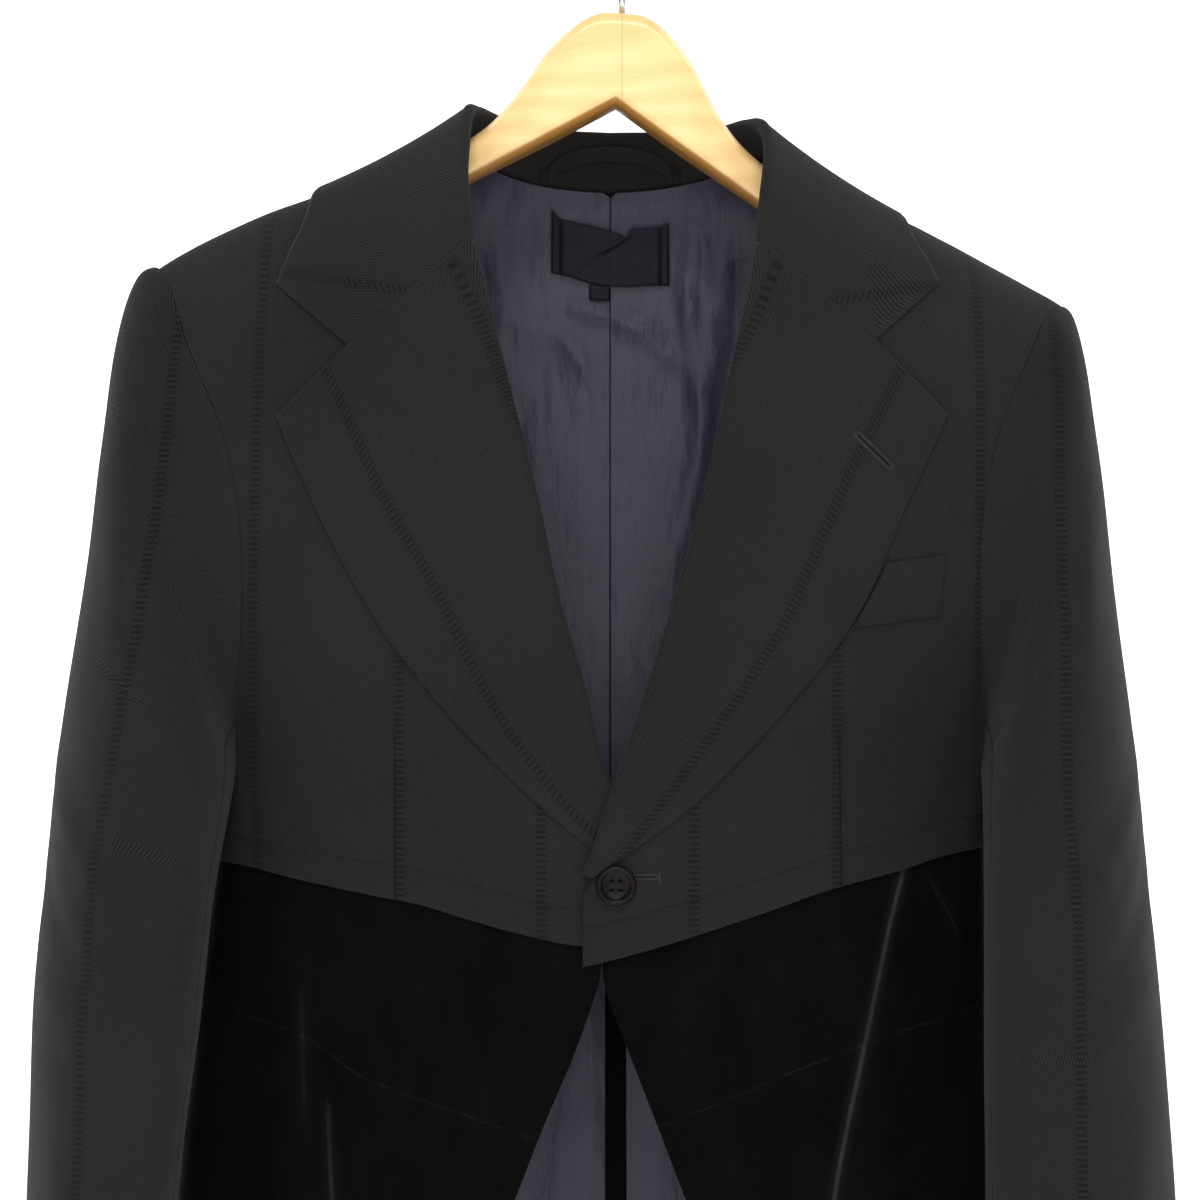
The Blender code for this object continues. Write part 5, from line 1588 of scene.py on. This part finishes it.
def patch_z(x, z_high, z_low, share, droop):
    """Height of a tilted patch at a share of the way down; a slack label droops at its long edges."""
    high = z_high - droop * look_up(LABEL_DROOP, x)
    low = z_low + droop * look_up(LABEL_FOOT, x)
    return mix(high, low, share) - LABEL_TILT * x


def label_relief(x, z):
    """The label stands off the lining between its sewn ends, with a slack fold at its top."""
    over = 0.0
    for fold in LABEL_FOLDS:
        over += near_fold(x, z, fold)
    inside = LABEL_HALF - LABEL_END - abs(x)
    belly = 1.0 * ease(inside / 1.8)
    groove = 0.55 * math.exp(-((inside / 0.8) ** 2))
    return groove - belly - over - 1.6


def tab_relief(x, z):
    return -1.9 - 0.4 * math.sin((z + 205.0) / 3.0)


def build_labels(label):
    back_patch(
        "neck_label", -LABEL_HALF, LABEL_HALF, LABEL_TOP_Z, LABEL_BOTTOM_Z, LABEL_COLS, label,
        label_relief, 1.0,
    )
    back_patch(
        "size_tab", TAB_X - TAB_HALF, TAB_X + TAB_HALF, LABEL_BOTTOM_Z - SEAM_GAP, TAB_BOTTOM_Z,
        TAB_COLS, label, tab_relief, 0.0,
    )


def plain_strip(name, grid, outer, inner, wool):
    """Free wool strip that faces the front, with no stripe on it."""
    normals = each(grid, lambda p: (0.0, 1.0, 0.0))
    wall(name, grid, outer, inner, wool, normals, strip_uv(grid), each(grid, between_stripes))


def build_loop(wool):
    grid = [[] for _ in LOOP_ACROSS]
    for j in range(LOOP_STEPS + 1):
        u = 2.0 * j / LOOP_STEPS - 1.0
        x = LOOP_HALF * u
        y = LOOP_Y - LOOP_END_IN * u * u
        z = LOOP_END_Z + LOOP_RISE * (1.0 - u * u) - 0.6 * LOOP_RISE * u ** 8
        for line, part in zip(grid, LOOP_ACROSS):
            line.append((x, y - 0.5 * (1.0 - 4.0 * part * part), z + LOOP_WIDTH * part))
    plain_strip("hanger_loop", grid, 0.0, -LOOP_THICK, wool)


def build_welt(wool):
    def point(down, across):
        x, z = mix(mix(WELT[0], WELT[1], across), mix(WELT[2], WELT[3], across), down)
        return (x, -depth_at(x, z, -1), z)
    grid = make_grid(WELT_ROWS, WELT_COLS, point)
    marks = each(grid, between_stripes)
    panel("chest_welt", grid, WELT_LIFT + WELT_THICK, WELT_LIFT, wool, -1, ALL_SIDES, marks)


def build_button(horn, thread):
    """The button with its four holes and its thread; returns places on it by radius, turn and lift."""
    base = (BUTTON_X, -depth_at(BUTTON_X, BUTTON_Z, -1), BUTTON_Z)
    axis = body_normal(base, -1)
    across = unit(cross((0.0, 0.0, 1.0), axis))
    up = cross(axis, across)

    def place(radius, turn, lift):
        p = shift(base, axis, lift)
        return shift(shift(p, across, radius * math.cos(turn)), up, radius * math.sin(turn))

    def ring(middle, radius, lift, sides):
        return circle(shift(middle, axis, lift), across, up, radius, sides)

    rings = [ring(base, max(r, 0.3), BUTTON_LIFT + h, BUTTON_SIDES) for r, h in BUTTON_FINE]
    button = tube("button", rings, horn)
    cutters = []
    for k in range(4):
        turn = math.pi / 4 + k * math.pi / 2
        spot = place(BUTTON_HOLE_SPREAD * math.sqrt(2.0), turn, 0.0)
        ends = (BUTTON_LIFT - 1.0, BUTTON_LIFT + 4.0)
        rings = [ring(spot, BUTTON_HOLE_RADIUS, lift, BUTTON_HOLE_SIDES) for lift in ends]
        cutter = tube("cut_hole_%d" % k, rings, horn)
        cut = button.modifiers.new("hole_%d" % k, "BOOLEAN")
        cut.operation = "DIFFERENCE"
        cut.solver = "EXACT"
        cut.object = cutter
        cutters.append(cutter)
    apply_modifiers(button)
    for cutter in cutters:
        bpy.data.objects.remove(cutter)
    low = 2.4 + SEAM_GAP
    high = BUTTON_LIFT - SEAM_GAP
    shank = []
    for k in range(9):
        radius = THREAD_RADIUS * (1.0 - 0.14 * math.sin(math.pi * k / 8))
        shank.append(ring(base, radius, mix(low, high, k / 8), THREAD_SIDES))
    tube("button_thread", shank, thread)
    return place


def hanger_ring(x, high, low, thick):
    """Rounded section of the wood at one place along it, before it leans."""
    half = thick / 2
    r = min(HANGER_CORNER, half * 0.9, (high - low) * 0.45)
    corners = ((1, 1), (-1, 1), (-1, -1), (1, -1))
    points = []
    for n, (sy, sz) in enumerate(corners):
        cy = sy * (half - r)
        cz = (high - r) if sz > 0 else (low + r)
        for k in range(7):
            a = math.radians(90.0 * n + 15.0 * k)
            points.append((x, cy + r * math.cos(a), cz + r * math.sin(a)))
    lean = mix(HANGER_LEAN, HANGER_LEAN_ENDS, ease((abs(x) - 67.0) / 60.0))
    turn_c = math.cos(lean)
    turn_s = math.sin(lean)
    return [
        (px * turn_c + pz * turn_s + HANGER_TOP[0], py, -px * turn_s + pz * turn_c + HANGER_TOP[1])
        for px, py, pz in points
    ]


def build_hanger(wood, steel):
    rings = []
    reach = HANGER_PROFILE[-1][0]
    for k in range(-HANGER_STEPS, HANGER_STEPS + 1):
        x = reach * k / HANGER_STEPS
        rings.append(hanger_ring(x, *look_up_row(HANGER_PROFILE, abs(x))))
    tube("hanger_wood", [list(reversed(ring)) for ring in rings], wood)
    path = [(x, 0.0, z) for x, z in HOOK_SHAFT]
    radius = HOOK_RADIUS + HOOK_WIRE
    for k in range(HOOK_STEPS + 1):
        a = math.radians(mix(HOOK_TURNS[0], HOOK_TURNS[1], k / HOOK_STEPS))
        path.append((radius * math.cos(a), 0.0, -HOOK_RADIUS + radius * math.sin(a)))
    rings = []
    for k, middle in enumerate(path):
        way = heading(path, k)
        rings.append(circle(middle, (-way[2], 0.0, way[0]), (0.0, 1.0, 0.0), HOOK_WIRE, HOOK_SIDES))
    tube("hanger_hook", rings, steel)


def apply_modifiers(obj):
    """Keep an object's mesh as its modifiers leave it."""
    graph = bpy.context.evaluated_depsgraph_get()
    mesh = bpy.data.meshes.new_from_object(obj.evaluated_get(graph))
    obj.modifiers.clear()
    obj.data = mesh


def socket(value, tree, target):
    """Link an output to a socket, or set a number or colour on it."""
    if isinstance(value, bpy.types.NodeSocket):
        tree.links.new(value, target)
    elif isinstance(value, tuple) and len(value) == 3 and target.type == "RGBA":
        target.default_value = (value[0], value[1], value[2], 1.0)
    else:
        target.default_value = value


class Nodes:
    """Short ways to write a material's node tree."""

    def __init__(self, name, rough, **values):
        self.mat = bpy.data.materials.new(name)
        self.mat.use_nodes = True
        self.tree = self.mat.node_tree
        self.shader = self.tree.nodes["Principled BSDF"]
        self.shader.inputs["Roughness"].default_value = rough
        for key, value in values.items():
            self.put(key.replace("_", " "), value)

    def put(self, key, value):
        socket(value, self.tree, self.shader.inputs[key])

    def node(self, kind, inputs, **values):
        """New node with its settings; inputs are values or outputs by the socket's name or number."""
        made = self.tree.nodes.new(kind)
        for key, value in values.items():
            setattr(made, key, value)
        for key, value in inputs.items():
            socket(value, self.tree, made.inputs[key])
        return made

    def math(self, operation, a, b=0.0, c=0.0):
        return self.node("ShaderNodeMath", {0: a, 1: b, 2: c}, operation=operation).outputs[0]

    def product(self, first, *others):
        for value in others:
            first = self.math("MULTIPLY", first, value)
        return first

    def sum(self, a, b):
        return self.math("ADD", a, b)

    def scaled(self, value, scale, base):
        return self.math("MULTIPLY_ADD", value, scale, base)

    def away(self, value, place):
        """Distance of a value from a place."""
        return self.math("ABSOLUTE", self.math("SUBTRACT", value, place))

    def wave(self, value):
        return self.scaled(self.math("SINE", value), 0.5, 0.5)

    def split(self, vector):
        return self.node("ShaderNodeSeparateXYZ", {0: vector}).outputs

    def uv(self, name):
        """A map as a vector and as its two channels."""
        made = self.node("ShaderNodeUVMap", {}, uv_map=name).outputs[0]
        parts = self.split(made)
        return made, parts[0], parts[1]

    def place(self):
        return self.node("ShaderNodeTexCoord", {}).outputs["Object"]

    def noise(self, vector, scale, detail=3.0, rough=0.55, stretch=None):
        if stretch is not None:
            vector = self.node("ShaderNodeMapping", {0: vector, "Scale": stretch}).outputs[0]
        inputs = {"Vector": vector, "Scale": scale, "Detail": detail, "Roughness": rough}
        return self.node("ShaderNodeTexNoise", inputs).outputs["Fac"]

    def range(self, value, low, high, to_low=0.0, to_high=1.0, smooth=False):
        inputs = {
            "Value": value, "From Min": low, "From Max": high, "To Min": to_low, "To Max": to_high,
        }
        kind = "SMOOTHSTEP" if smooth else "LINEAR"
        return self.node("ShaderNodeMapRange", inputs, interpolation_type=kind).outputs[0]

    def fade(self, value, low, high, to_low, to_high=0.0):
        """Smooth change from one value to another, and to zero where no other is given."""
        return self.range(value, low, high, to_low, to_high, True)

    def blend(self, share, a, b):
        return self.node("ShaderNodeMix", {0: share, 6: a, 7: b}, data_type="RGBA").outputs[2]

    def tinted(self, color, tone):
        inputs = {0: color, "Scale": tone}
        return self.node("ShaderNodeVectorMath", inputs, operation="SCALE").outputs[0]

    def bump(self, height, strength, distance, below=None):
        inputs = {"Height": height, "Strength": strength, "Distance": distance}
        if below is not None:
            inputs["Normal"] = below
        return self.node("ShaderNodeBump", inputs).outputs[0]

    def line(self, place, half):
        """1 on the whole numbers of a place channel, 0 further from them than half."""
        part = self.math("FRACT", self.sum(place, 0.5))
        return self.fade(self.away(part, 0.5), half * 0.55, half, 1.0)


def wool_material():
    n = Nodes("wool_cloth", 0.86, Sheen_Weight=0.045, Sheen_Roughness=0.5, Specular_IOR_Level=0.06)
    n.put("Sheen Tint", (0.85, 0.86, 0.9))
    vector, u, v = n.uv("cloth")
    _, stripe, dart = n.uv("marks")
    # diagonal twill, a little over a millimetre from rib to rib, broken up by the yarn
    yarn = n.noise(vector, 0.9, 2.0)
    slope = n.sum(n.product(u, 4.3), n.product(v, 2.9))
    twill = n.wave(n.sum(slope, n.product(yarn, 4.4)))
    # the shadow stripe is a ladder of short rungs
    on = n.line(stripe, 0.042)
    rung = n.fade(n.wave(n.product(v, 2.25)), 0.35, 0.65, 0.0, 1.0)
    side = n.math("SUBTRACT", n.line(stripe, 0.054), on)
    patch = n.noise(n.place(), 9.0, 4.0)
    fuzz = n.noise(vector, 2.4, 2.0)
    # a dart is a fine seam line from the lapel down to the hem's stitches; its line is darkened as painted
    # shade in the seam's groove
    dart = n.fade(n.away(dart, DART_MARK), 0.15, 0.75, 1.0)
    dart = n.product(dart, n.fade(v, DART_TOP_Z, DART_TOP_Z - 6.0, 0.0, 1.0))
    tone = n.product(
        n.scaled(patch, 0.5, 0.72), n.scaled(twill, 0.85, 0.575), n.scaled(fuzz, 0.9, 0.55),
        n.math("SUBTRACT", 1.0, n.product(on, n.product(rung, 0.46))), n.scaled(side, -0.16, 1.0),
        n.scaled(dart, -0.55, 1.0),
    )
    tint = n.blend(n.noise(n.place(), 22.0, 2.0), (0.0122, 0.0119, 0.0117), (0.0130, 0.0130, 0.0129))
    n.put("Base Color", n.tinted(tint, tone))
    n.put("Roughness", n.range(twill, 0.0, 1.0, 0.92, 0.8))
    weave = n.bump(twill, 0.35, 0.00022)
    weave = n.bump(n.product(on, rung), 0.4, 0.00025, weave)
    weave = n.bump(dart, -0.5, 0.0004, weave)
    n.put("Normal", n.bump(fuzz, 0.3, 0.0003, weave))
    return n.mat


def velvet_material(name, spans):
    """Velvet; spans says where the painted sheen of its two pressed creases shows, and is empty for the
    plain pieces.
    """
    n = Nodes(name, 0.95, Sheen_Weight=0.06, Sheen_Roughness=0.34, Specular_IOR_Level=0.02)
    n.put("Sheen Tint", (0.72, 0.68, 0.74))
    vector, _, v = n.uv("cloth")
    pile = n.noise(vector, 1.7, 3.0, 0.7)
    brush = n.noise(vector, 0.045, 4.0, 0.6, (1.0, 0.35, 1.0))
    spot = n.noise(n.place(), 60.0, 3.0)
    tone = n.product(n.scaled(brush, 0.9, 0.5), n.scaled(pile, 0.7, 0.6), n.scaled(spot, 0.4, 0.8))
    base = n.blend(brush, (0.0024, 0.0019, 0.0021), (0.0034, 0.0029, 0.0031))
    color = n.tinted(base, tone)
    soft = n.bump(pile, 0.35, 0.0005)
    soft = n.bump(n.noise(vector, 0.11, 3.0), 0.35, 0.0022, soft)
    if spans:
        crease_sheen = pressed_light(n, vector, v, spans)
        # painted sheen: the velvet is painted much lighter along its pressed creases and the faint lines
        # across it
        color = n.blend(crease_sheen, color, (0.046, 0.043, 0.044))
        soft = n.bump(crease_sheen, 0.5, 0.0008, soft)
    n.put("Base Color", color)
    n.put("Roughness", n.range(pile, 0.2, 0.8, 0.98, 0.86))
    n.put("Normal", soft)
    return n.mat


def pressed_light(n, vector, v, spans):
    """How much painted sheen lightens the velvet where its pile was pressed flat."""
    _, across, _ = n.uv("marks")
    _, first, second = n.uv("creases")
    uneven = n.noise(vector, 0.16, 3.0, 0.6, (1.0, 0.25, 1.0))
    # painted sheen: faint lighter lines along the hem's old fold
    light = n.fade(n.math("ABSOLUTE", across), 0.2, 0.9, 0.08)
    light = n.product(light, n.range(uneven, 0.38, 0.62))
    for away, (top, full, low, bottom, strength) in zip((first, second), spans):
        away = n.math("ABSOLUTE", away)
        span = n.product(
            n.fade(v, top, full, 0.0, 1.0), n.fade(v, bottom, low, 0.0, 1.0),
            n.range(uneven, 0.3, 0.6, 0.55 * strength, strength),
        )
        core = n.fade(away, 0.3, 1.6, 0.75)
        halo = n.fade(away, 0.0, 5.5, 0.22)
        light = n.sum(light, n.product(span, n.sum(core, halo)))
    return n.math("MINIMUM", light, 1.0)


def satin_material(name, low, high, rough, gloss):
    n = Nodes(name, rough, Sheen_Weight=0.05, Sheen_Roughness=0.3, Specular_IOR_Level=gloss)
    vector, u, _ = n.uv("cloth")
    thread = n.noise(vector, 1.0, 2.0, 0.5, (3.2, 0.25, 1.0))
    weft = n.noise(vector, 1.0, 2.0, 0.5, (0.22, 3.0, 1.0))
    cloud = n.noise(n.place(), 14.0, 4.0)
    # painted shade along the seam down the middle
    seam = n.fade(n.math("ABSOLUTE", u), 0.25, 0.95, 1.0 - SEAM_SHADE, 1.0)
    tone = n.sum(n.scaled(thread, 0.3, 0.55), n.product(weft, 0.18))
    tone = n.product(tone, n.scaled(cloud, 0.5, 0.8), seam)
    n.put("Base Color", n.blend(tone, tuple(SEAM_LOW * c for c in low), high))
    n.put("Roughness", n.range(thread, 0.2, 0.8, rough + 0.05, rough - 0.05))
    weave = n.bump(thread, 0.25, 0.0002)
    n.put("Normal", n.bump(n.noise(vector, 0.16, 3.0, 0.5, (1.0, 0.35, 1.0)), 0.4, 0.0018, weave))
    return n.mat


def horn_material():
    n = Nodes("horn_gloss", 0.2, Specular_IOR_Level=0.08, Coat_Weight=0.04, Coat_Roughness=0.08)
    swirl = n.noise(n.place(), 90.0, 5.0, 0.6, (1.0, 1.0, 2.4))
    streak = n.noise(n.place(), 260.0, 3.0, 0.5, (1.0, 1.0, 0.3))
    mixed = n.range(n.sum(n.product(swirl, 0.7), n.product(streak, 0.3)), 0.35, 0.65)
    n.put("Base Color", n.blend(mixed, (0.0012, 0.0010, 0.0009), (0.0065, 0.0048, 0.0040)))
    n.put("Roughness", n.range(streak, 0.3, 0.7, 0.2, 0.34))
    n.put("Normal", n.bump(streak, 0.1, 0.0002))
    return n.mat


def wood_material():
    n = Nodes("wood_grain", 0.38, Specular_IOR_Level=0.5, Coat_Weight=0.25, Coat_Roughness=0.2)
    place = n.place()
    x, y, z = n.split(place)
    wander = n.noise(place, 7.0, 3.0, 0.5, (1.0, 1.0, 2.2))
    rings = n.sum(n.product(z, 420.0), n.product(wander, 26.0))
    grain = n.wave(n.sum(rings, n.product(y, 160.0)))
    pore = n.noise(place, 1.0, 3.0, 0.6, (60.0, 900.0, 900.0))
    tone = n.sum(n.product(grain, 0.45), n.product(pore, 0.55))
    color = n.blend(tone, (0.66, 0.41, 0.145), (0.80, 0.56, 0.25))
    # the two halves of the hanger meet at its middle
    joint = n.fade(n.away(x, HANGER_TOP[0] * MM), 0.0001, 0.0005, 0.45)
    color = n.blend(joint, color, (0.30, 0.15, 0.05))
    # painted shade: the faces turned down are painted a deeper, darker orange
    underside_shade = n.split(n.node("ShaderNodeNewGeometry", {}).outputs["Normal"])[2]
    color = n.blend(n.fade(underside_shade, -0.62, -0.4, 0.9), color, (0.30, 0.125, 0.016))
    n.put("Base Color", color)
    n.put("Roughness", n.range(pore, 0.3, 0.7, 0.44, 0.3))
    n.put("Normal", n.bump(tone, 0.12, 0.0003))
    return n.mat


def steel_material():
    n = Nodes("steel_wire", 0.24, Metallic=1.0)
    wear = n.noise(n.place(), 240.0, 3.0, 0.6, (1.0, 1.0, 0.25))
    n.put("Base Color", n.blend(wear, (0.56, 0.56, 0.58), (0.72, 0.72, 0.74)))
    n.put("Roughness", n.range(wear, 0.3, 0.7, 0.18, 0.34))
    n.put("Normal", n.bump(wear, 0.08, 0.0001))
    return n.mat


def thread_material(name, color):
    n = Nodes(name, 0.8, Sheen_Weight=0.08, Specular_IOR_Level=0.12)
    strand = n.noise(n.place(), 1800.0, 2.0)
    n.put("Base Color", n.blend(strand, tuple(c * 0.6 for c in color), color))
    n.put("Normal", n.bump(strand, 0.3, 0.0002))
    return n.mat


def plain_stage(name, color):
    n = Nodes(name, 0.9, Specular_IOR_Level=0.1, Emission_Strength=0.8)
    n.put("Emission Color", (1.0, 1.0, 1.0))
    n.put("Base Color", n.blend(n.noise(n.place(), 3.0), color, tuple(c * 0.985 for c in color)))
    return n.mat


def bead(start, end, axis, radius, lift):
    """Points of one stitch between two places, as rings of a small capsule."""
    side = unit(cross(unit(sub(end, start)), axis))
    rings = []
    for t, part in ((0.0, 0.35), (0.12, 0.8), (0.35, 1.0), (0.65, 1.0), (0.88, 0.8), (1.0, 0.35)):
        middle = shift(mix(start, end, t), axis, lift * (0.2 + 0.8 * math.sin(math.pi * mix(0.1, 0.9, t))))
        rings.append(circle(middle, side, axis, radius * part, STITCH_SIDES))
    return rings


def capsules(name, beads, mat):
    """One piece of many closed stitches."""
    verts = []
    faces = []
    for rings in beads:
        own = ring_faces(len(rings), STITCH_SIDES, len(verts))
        verts += [tilt(p) for ring in rings for p in ring]
        if enclosed(verts, own) < 0.0:
            own = [tuple(reversed(f)) for f in own]
        faces += own
    make_object(name, verts, faces, mat)


def on_front(x, z, lift):
    """Point over the dressed front, with its soft folds."""
    return on_body(x, z, -1, lift + drape(x, z, -1))


def stitches(at, count, share, radius, lift, side=-1):
    """Stitches along a way; at gives the point at a share of it, and share is how much they cover."""
    beads = []
    for k in range(count):
        start = at(k / count)
        axis = body_normal(start, side)
        if side > 0:
            # the back is seen from inside
            axis = (-axis[0], -axis[1], -axis[2])
        beads.append(bead(start, at((k + share) / count), axis, radius, lift))
    return beads


def build_hem_stitches(thread):
    for sign, (word, low, band, lift_of) in FRONTS.items():
        first, last = HEM_STITCH_X[sign]

        def at(t):
            x = mix(first, last, t)
            z = low(x) + band(x)
            return on_front(x, z, lift_of(x, z) - 0.66)
        count = int((last - first) / HEM_PITCH)
        capsules("hem_stitches_" + word, stitches(at, count, 0.62, STITCH_RADIUS, STITCH_RISE), thread)


def cord(name, points, radius, mat, closed):
    """Round cord through points laid on the cloth."""
    rings = []
    for k, p in enumerate(points):
        way = heading(points, k, closed)
        side = unit(cross(way, body_normal(p, -1)))
        out = unit(cross(side, way))
        swell = radius * (1.0 + 0.16 * math.sin(k * 2.1))
        rings.append([tilt(q) for q in circle(p, side, out, swell, CORD_SIDES)])
    tube(name, rings, mat, closed)


def slot_outline(x0, z0, x1, z1, half, steps):
    """Long rounded outline between two ends, as x and z."""
    dx, dz = x1 - x0, z1 - z0
    size = math.hypot(dx, dz)
    dx, dz = dx / size, dz / size
    out = []
    for way, end_x, end_z in ((half, x1, z1), (-half, x0, z0)):
        for k in range(steps):
            t = k / steps if way > 0 else 1.0 - k / steps
            out.append((x0 + dx * size * t - dz * way, z0 + dz * size * t + dx * way))
        for k in range(HOLE_END_STEPS):
            s = math.sin(math.pi * k / HOLE_END_STEPS)
            c = math.cos(math.pi * k / HOLE_END_STEPS)
            out.append((end_x + way * (dx * s - dz * c), end_z + way * (dz * s + dx * c)))
    return out


def build_buttonholes(thread, dark):
    """The buttonhole beside the button with its bar tack, and the lapel's one with its slot of painted
    shade, a dark cord.
    """
    def leaf(x, z):
        return LAPEL_LIFT + LAPEL / 2
    tack = [(TACK_X, z) for z in TACK_HEIGHTS]
    slot = [mix(SLOT_ENDS[0], SLOT_ENDS[1], t / SLOT_STEPS) for t in range(SLOT_STEPS + 1)]
    sets = (
        ("buttonhole_edge", slot_outline(*FRONT_HOLE), lap_lift, 0.25, 0.55, thread, True),
        ("buttonhole_tack", tack, lap_lift, 0.2, 0.6, thread, False),
        ("lapel_hole_edge", slot_outline(*LAPEL_HOLE), leaf, 0.1, 0.65, thread, True),
        # painted shade: the slot's cord is near black
        ("lapel_hole_slot", slot, leaf, 0.02, 0.6, dark, False),
    )
    for name, places, lift_of, over, radius, mat, closed in sets:
        points = [on_front(x, z, lift_of(x, z) + over) for x, z in places]
        cord(name, points, radius, mat, closed)


def build_button_stitches(place, thread):
    """Two rows of thread over the button, each from hole to hole."""
    beads = []
    for sign in (-1, 1):
        for off in (-0.35, 0.0, 0.35):
            px = sign * BUTTON_HOLE_SPREAD + off
            ends = []
            for pz in (-BUTTON_HOLE_SPREAD, BUTTON_HOLE_SPREAD):
                ends.append(place(math.hypot(px, pz), math.atan2(pz, px), BUTTON_LIFT + 1.7))
            axis = body_normal(ends[0], -1)
            beads.append(bead(ends[0], ends[1], axis, BUTTON_STITCH_RADIUS, BUTTON_STITCH_RISE))
    capsules("button_stitches", beads, thread)


def build_welt_stitches(thread):
    start, end, count = WELT_STITCHES

    def at(t):
        x, z = mix(start, end, t)
        return on_front(x, z, WELT_LIFT + WELT_THICK)
    capsules("welt_stitches", stitches(at, count, 0.6, STITCH_RADIUS, WELT_STITCH_RISE), thread)


def build_label_stitches(thread):
    beads = []
    depth = LAID_DEPTH + LABEL_THICK + 1.7
    for sign in (-1, 1):
        x = sign * (LABEL_HALF - LABEL_END / 2)

        def at(t):
            z = patch_z(x, LABEL_TOP_Z - 1.0, LABEL_BOTTOM_Z + 1.0, t, 1.0)
            return on_body(x, z, 1, drape(x, z, 1) - depth)
        beads += stitches(at, LABEL_STITCHES, 0.6, LABEL_STITCH_RADIUS, LABEL_STITCH_RISE, 1)
    capsules("label_stitches", beads, thread)


def loop_end_point(x0, down, across):
    """Point of a sewn square at the loop's end, with a seam inside its edges."""
    u = 2.0 * across - 1.0
    w = 1.0 - 2.0 * down
    ridge = 0.0
    for a, b in ((u, w), (w, u)):
        ridge += 0.35 * (math.exp(-(((abs(a) - 0.72) / 0.14) ** 2)) if abs(b) < 0.8 else 0.0)
    y = LOOP_Y - LOOP_END_IN - 0.25 - 0.5 * (1.0 - max(abs(u), abs(w)) ** 6) + ridge
    return (x0 + 3.6 * u, y, LOOP_END_Z - 4.0 + 3.8 * w)


def build_loop_ends(wool):
    for sign, word in SIDES:
        x0 = sign * (LOOP_HALF + 0.2)
        grid = make_grid(LOOP_END_COLS, LOOP_END_COLS, lambda down, across: loop_end_point(x0, down, across))
        plain_strip("loop_end_" + word, grid, 0.5, -0.6, wool)


def declare():
    """Hide the imported solids that the pieces made here stand in for, and look up the cut of every sheet of
    cloth.
    """
    slots = {base: row[0] for base, row in SHEETS.items()} | HARD
    for base in sorted(slots):
        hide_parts(base)
    for base, (_, held, *rests) in SHEETS.items():
        wide, long, area = CUTS[base]
        # a small patch goes on under what it is sewn to, and the loop is folded in
        long = max(long, LEAST_CUT)
        [MADE[k] for k in rests]
        min(area, wide * long)


def build_floor():
    """Pale floor and backdrop in one sweep."""
    path = [(-SWEEP_FRONT, FLOOR_Z), (SWEEP_BACK - SWEEP_ROUND, FLOOR_Z)]
    for k in range(1, 13):
        a = math.radians(90.0 * k / 12)
        y = SWEEP_BACK - SWEEP_ROUND * (1.0 - math.sin(a))
        path.append((y, FLOOR_Z + SWEEP_ROUND * (1.0 - math.cos(a))))
    path.append((SWEEP_BACK, SWEEP_TOP))
    verts = [(x, y, z) for y, z in path for x in (-SWEEP_SIDE, SWEEP_SIDE)]
    faces = [(2 * k, 2 * k + 1, 2 * k + 3, 2 * k + 2) for k in range(len(path) - 1)]
    new_object("floor", verts, faces, plain_stage("stage_paper", (0.93, 0.93, 0.93)))


def build_lights():
    world = bpy.data.worlds.new("studio")
    bpy.context.scene.world = world
    world.use_nodes = True
    back = world.node_tree.nodes["Background"]
    back.inputs["Color"].default_value = (1.0, 1.0, 1.0, 1.0)
    back.inputs["Strength"].default_value = WORLD_LIGHT
    for name, place, turn, size, power in LIGHTS:
        data = bpy.data.lights.new(name, "AREA")
        data.shape = "RECTANGLE"
        data.size, data.size_y = size
        data.energy = power
        lamp = bpy.data.objects.new(name, data)
        lamp.location = place
        lamp.rotation_euler = tuple(math.radians(a) for a in turn)
        bpy.context.scene.collection.objects.link(lamp)


def build_camera():
    data = bpy.data.cameras.new("camera")
    data.lens = CAMERA_LENS
    data.sensor_width = CAMERA_SENSOR
    camera = bpy.data.objects.new("camera", data)
    camera.location = tuple(v * MM for v in CAMERA_PLACE)
    camera.rotation_euler = (math.radians(90.0), 0.0, 0.0)
    bpy.context.scene.collection.objects.link(camera)
    bpy.context.scene.camera = camera
    bpy.context.scene.view_settings.view_transform = VIEW


def main():
    wool = wool_material()
    velvet = velvet_material("velvet_plain", ())
    pressed = {sign: velvet_material("velvet_crease_sheen_" + word, CREASE_SPANS[sign]) for sign, word in SIDES}
    satin = satin_material("satin_cloth", (0.0125, 0.0105, 0.0185), (0.035, 0.030, 0.051), 0.34, 0.2)
    label = satin_material("label_cloth", (0.0022, 0.0026, 0.0050), (0.0060, 0.0070, 0.0130), 0.5, 0.1)
    thread = thread_material("sewing_thread", (0.0075, 0.0075, 0.0078))
    tack = thread_material("hole_thread", (0.023, 0.023, 0.025))
    # painted shade: a near-black cord laid in the lapel buttonhole's slot
    dark = thread_material("slot_shade", (0.0025, 0.0025, 0.0027))
    build_fronts(wool)
    build_backs(wool)
    build_collar(wool, build_lapels(wool))
    build_sleeves(wool)
    build_velvets(velvet, pressed)
    build_linings(satin, velvet)
    build_labels(label)
    build_loop(wool)
    build_welt(wool)
    place = build_button(horn_material(), thread)
    build_hanger(wood_material(), steel_material())
    build_hem_stitches(thread)
    build_buttonholes(tack, dark)
    build_button_stitches(place, thread)
    build_welt_stitches(thread)
    build_label_stitches(tack)
    build_loop_ends(wool)
    declare()
    build_floor()
    build_lights()
    build_camera()


main()
